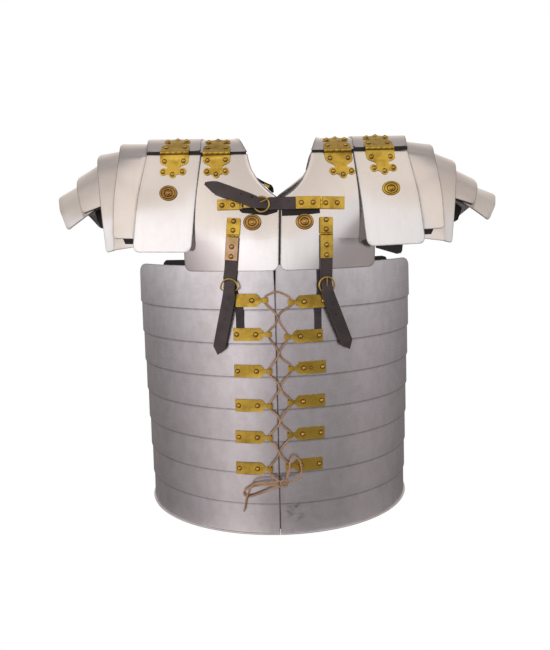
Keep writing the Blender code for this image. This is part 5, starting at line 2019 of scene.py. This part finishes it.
def addJointStrip(name, angle, facing):
    # the strip of leather that closes the slit between the two halves of the girdle, nearly black as
    # painted shade inside the slit
    stations = []
    for k in range(25):
        z = between(girdle["top"] - 0.004, girdle["hem"] + 0.006, k / 24)
        point = onGirdle(angle, z, -jointLook["inside"])
        stations.append((point, jointLook["half"], jointLook["thick"], Vector((0, facing, 0))))
    addBand(name, stations, leatherInShade, bevel=0)


addJointStrip("joint_strip", 0.0, -1)
print("front joint closed")


# Rear fittings, plain

rearLook = {
    "spread": 0.0115,  # of a plate's two rivets from the middle of the joint
    "inset": 0.0075,
    "leatherY": 0.1462,
    # name, the joint's middle, its leather's ends, how much higher it lies
    "joints": (
        ("collar", 0.0785, (0.0560, 0.1050), 0.0),
        ("guard", 0.1340, (0.1000, 0.1680), collar["guardRise"]),
    ),
    "hoopRivet": 0.030,  # radians from the joint of the girdle's halves
    "strapRivets": (0.006, 0.017),  # from the ends of the strap behind the neck
}


def addRearCollar(side):
    inset, seats = rearLook["inset"], []
    for name, reach, ends, lift in rearLook["joints"]:
        y = rearLook["leatherY"] + lift - leathers["hinge"]["thick"]
        addCrossLeather(name + "_rear", side, ends, lift, y, 1)
        for step in (-rearLook["spread"], rearLook["spread"]):
            x = collar["shift"] + side * (reach + step)
            ahead = collar["hingeY"] - plateLook["crestGap"] - inset
            crest = crestAt(side, ahead) + lift
            seats.append(seatOn(lambda out: Vector((x, ahead + 0.4 * out, crest + out))))
            if name == "collar":
                z = collar["hingeZ"] - plateLook["topGap"] - inset
                seats.append(seatOn(lambda out: chestPoint(x, z, out, 1)))
            else:
                across = (reach + step - 0.0990) / (0.1688 - 0.0990)
                seats.append(seatOn(lambda out: guardPoint(side, across, 2.74, out, 1)))
    addRivets("rear_rivets_" + sideName(side), seats)


def addRearGirdleRivets(side):
    angle, seats = math.pi + side * rearLook["hoopRivet"], []
    for i in range(girdle["hoops"]):
        z = between(*hoopLimits(i), 0.45)
        seats.append(seatOn(lambda out: onGirdle(angle, z, flareAt(z) + out)))
    addRivets("rear_girdle_rivets_" + sideName(side), seats)


def addBackStrapRivets():
    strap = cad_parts["back_strap"]
    corners = [strap.matrix_world @ vertex.co for vertex in strap.data.vertices]
    low, high = min(p.x for p in corners), max(p.x for p in corners)
    z = (min(p.z for p in corners) + max(p.z for p in corners)) / 2
    inverse, turned = strap.matrix_world.inverted(), strap.matrix_world.to_3x3()
    near, far = rearLook["strapRivets"]
    seats = []
    for x in (low + near, low + far, high - far, high - near):
        behind = inverse @ Vector((x, 0.4, z))
        found, place, normal, _ = strap.ray_cast(behind, Vector((0, -1, 0)))
        if found:
            seats.append((strap.matrix_world @ place, (turned @ normal).normalized()))
    addRivets("back_strap_rivets", seats)


for side in (-1, 1):
    addRearCollar(side)
addJointStrip("joint_strip_back", math.pi, 1)
for side in (-1, 1):
    addRearGirdleRivets(side)
addBackStrapRivets()
print("rear fittings made")


# Stage and light

stage = {
    "floor": -0.62,
    "wall": (1.0, 1.0, 1.0),
    "profile": ((0.0, 0.0), (3.2, 0.0), (3.8, 0.4), (4.0, 1.82), (4.0, 5.62), (0.0, 6.62)),
    "light": {
        "place": (-1.1, -1.9, 0.2),
        "target": (0, 0, -0.3),
        "size": (0.5, 1.8),
        "power": 16,
        "colour": (1.0, 0.98, 1.0),
    },
}

room = {
    "strength": 4.12,
    # brightness by heading in degrees from the front, right positive, for directions below level
    "low": (
        (-180, 0.18), (-130, 0.20), (-105, 0.20), (-85, 0.27), (-62, 0.39), (-45, 0.60),
        (-34, 0.73), (-20, 0.72), (-9, 0.44), (0, 0.35), (14, 0.28), (27, 0.27), (45, 0.255),
        (65, 0.34), (87, 0.305), (105, 0.26), (135, 0.195), (180, 0.17),
    ),
    # the same for the bright strip just above level
    "strip": (
        (-180, 0.70), (-90, 1.0), (-60, 1.40), (-25, 1.50), (0, 1.25), (12, 0.95), (35, 0.85),
        (60, 0.90), (120, 0.66), (180, 0.62),
    ),
    # the same for everything above that
    "side": (
        (-180, 0.90), (-120, 0.62), (-105, 0.74), (-85, 0.90), (-62, 1.02), (-45, 1.13),
        (-36, 1.07), (-24, 1.04), (-9, 0.88), (0, 0.94), (9, 0.93), (20, 0.98), (55, 1.02),
        (85, 0.82), (110, 0.70), (125, 0.62), (180, 0.90),
    ),
    # colour by height, as the sine of the direction's angle above level
    "high": (
        (-1.0, (0.578, 0.517, 0.520)),
        (-0.44, (0.84, 0.752, 0.756)),
        (-0.35, (0.882, 0.790, 0.794)),
        (-0.28, (0.945, 0.846, 0.851)),
        (-0.20, (1.03, 0.921, 0.930)),
        (-0.10, (1.235, 1.115, 1.15)),
        (-0.03, (1.41, 1.27, 1.32)),
        (0.01, (0.94, 0.86, 0.82)),
        (0.165, (0.95, 0.86, 0.79)),
        (0.30, (0.90, 0.80, 0.73)),
        (0.55, (0.78, 0.69, 0.64)),
        (0.75, (0.55, 0.50, 0.49)),
        (0.90, (0.44, 0.405, 0.41)),
        (1.00, (0.37, 0.345, 0.355)),
    ),
    "stripTint": (0.99, 0.97, 1.0),
    "stripEdges": (-0.045, 0.005, 0.155, 0.172),  # begins, is full, fades, ends
    "stripLift": (  # how far the strip's upper edge is moved, by heading
        (-180, 0.0), (-56, 0.0), (-46, -0.19), (-39, -0.187), (-33, -0.135), (-25, -0.077),
        (-12, -0.014), (-9, -0.03), (-5, -0.03), (0, 0.006), (9, -0.03), (14, -0.02), (30, -0.02),
        (180, 0.0),
    ),
}


def addRamp(tree, value, stops):
    ramp = tree.nodes.new("ShaderNodeValToRGB")
    elements = ramp.color_ramp.elements
    while len(elements) > 1:
        elements.remove(elements[-1])
    elements[0].position = stops[0][0]
    for place, _ in stops[1:]:
        elements.new(place)
    for element, (place, colour) in zip(elements, stops):
        element.position = place
        element.color = (*colour, 1.0)
    tree.links.new(value, ramp.inputs[0])
    return ramp.outputs[0]


def byHeading(tree, turn, table):
    return addRamp(tree, turn, [((angle + 180) / 360, (v / 2, v / 2, v / 2)) for angle, v in table])


def addWorld():
    world = bpy.data.worlds.new("studio")
    world.use_nodes = True
    bpy.context.scene.world = world
    tree = world.node_tree
    place = tree.nodes.new("ShaderNodeTexCoord")
    split = tree.nodes.new("ShaderNodeSeparateXYZ")
    tree.links.new(place.outputs["Generated"], split.inputs[0])
    up = split.outputs["Z"]
    ahead = calculate(tree, "MULTIPLY", split.outputs["Y"], -1.0)
    heading = calculate(tree, "ARCTAN2", split.outputs["X"], ahead)
    turn = remap(tree, heading, -math.pi, math.pi, 0.0, 1.0)
    stops = [((s + 1) / 2, tuple(c / 2 for c in colour)) for s, colour in room["high"]]
    byHeight = addRamp(tree, remap(tree, up, -1.0, 1.0, 0.0, 1.0), stops)

    def tinted(table, tint):
        return mixColour(tree, 1.0, byHeading(tree, turn, room[table]), tint, "MULTIPLY")

    low, high = tinted("low", byHeight), tinted("side", byHeight)
    strip = tinted("strip", tuple(c / 2 for c in room["stripTint"]))
    start, full, fade, end = room["stripEdges"]
    enter = remap(tree, up, start, full, 0.0, 1.0)
    lifts = byHeading(tree, turn, [(angle, v + 0.5) for angle, v in room["stripLift"]])
    lowered = calculate(tree, "SUBTRACT", up, remap(tree, lifts, 0.0, 1.0, -0.5, 1.5))
    leave = remap(tree, lowered, fade, end, 0.0, 1.0)
    lit = mixColour(tree, leave, mixColour(tree, enter, low, strip), high)
    background = tree.nodes["Background"]
    tree.links.new(lit, background.inputs["Color"])
    background.inputs["Strength"].default_value = room["strength"]


def addBackdrop():
    # a white round room with its floor, seen by the camera alone
    material = bpy.data.materials.new("pale_wall")
    material.use_nodes = True
    tree = material.node_tree
    tree.nodes.clear()
    glow = tree.nodes.new("ShaderNodeEmission")
    glow.inputs["Color"].default_value = (*stage["wall"], 1.0)
    output = tree.nodes.new("ShaderNodeOutputMaterial")
    tree.links.new(glow.outputs[0], output.inputs["Surface"])
    points, faces = [], []
    turns = 48
    for radius, up in stage["profile"]:
        for k in range(turns):
            angle = 2 * math.pi * k / turns
            points.append((radius * math.cos(angle), radius * math.sin(angle), stage["floor"] + up))
    for i in range(len(stage["profile"]) - 1):
        for k in range(turns):
            a, b = i * turns + k, i * turns + (k + 1) % turns
            faces.append((a, a + turns, b + turns, b))
    mesh = bpy.data.meshes.new("backdrop")
    mesh.from_pydata(points, [], faces)
    mesh.materials.append(material)
    made = bpy.data.objects.new("backdrop", mesh)
    bpy.context.scene.collection.objects.link(made)
    made.visible_diffuse = False
    made.visible_glossy = False
    made.visible_shadow = False
    made.visible_transmission = False


def addLight(name, light):
    data = bpy.data.lights.new(name, "AREA")
    data.shape = "RECTANGLE"
    data.size, data.size_y = light["size"]
    data.energy = light["power"]
    data.color = light["colour"]
    made = bpy.data.objects.new(name, data)
    bpy.context.scene.collection.objects.link(made)
    made.location = light["place"]
    aim = Vector(light["target"]) - Vector(light["place"])
    made.rotation_euler = aim.to_track_quat("-Z", "Y").to_euler()
    made.visible_glossy = False


addWorld()
addBackdrop()
addLight("softbox_left", stage["light"])
bpy.context.scene.view_settings.view_transform = "Standard"
bpy.context.scene.view_settings.look = "None"
print("stage and light set")
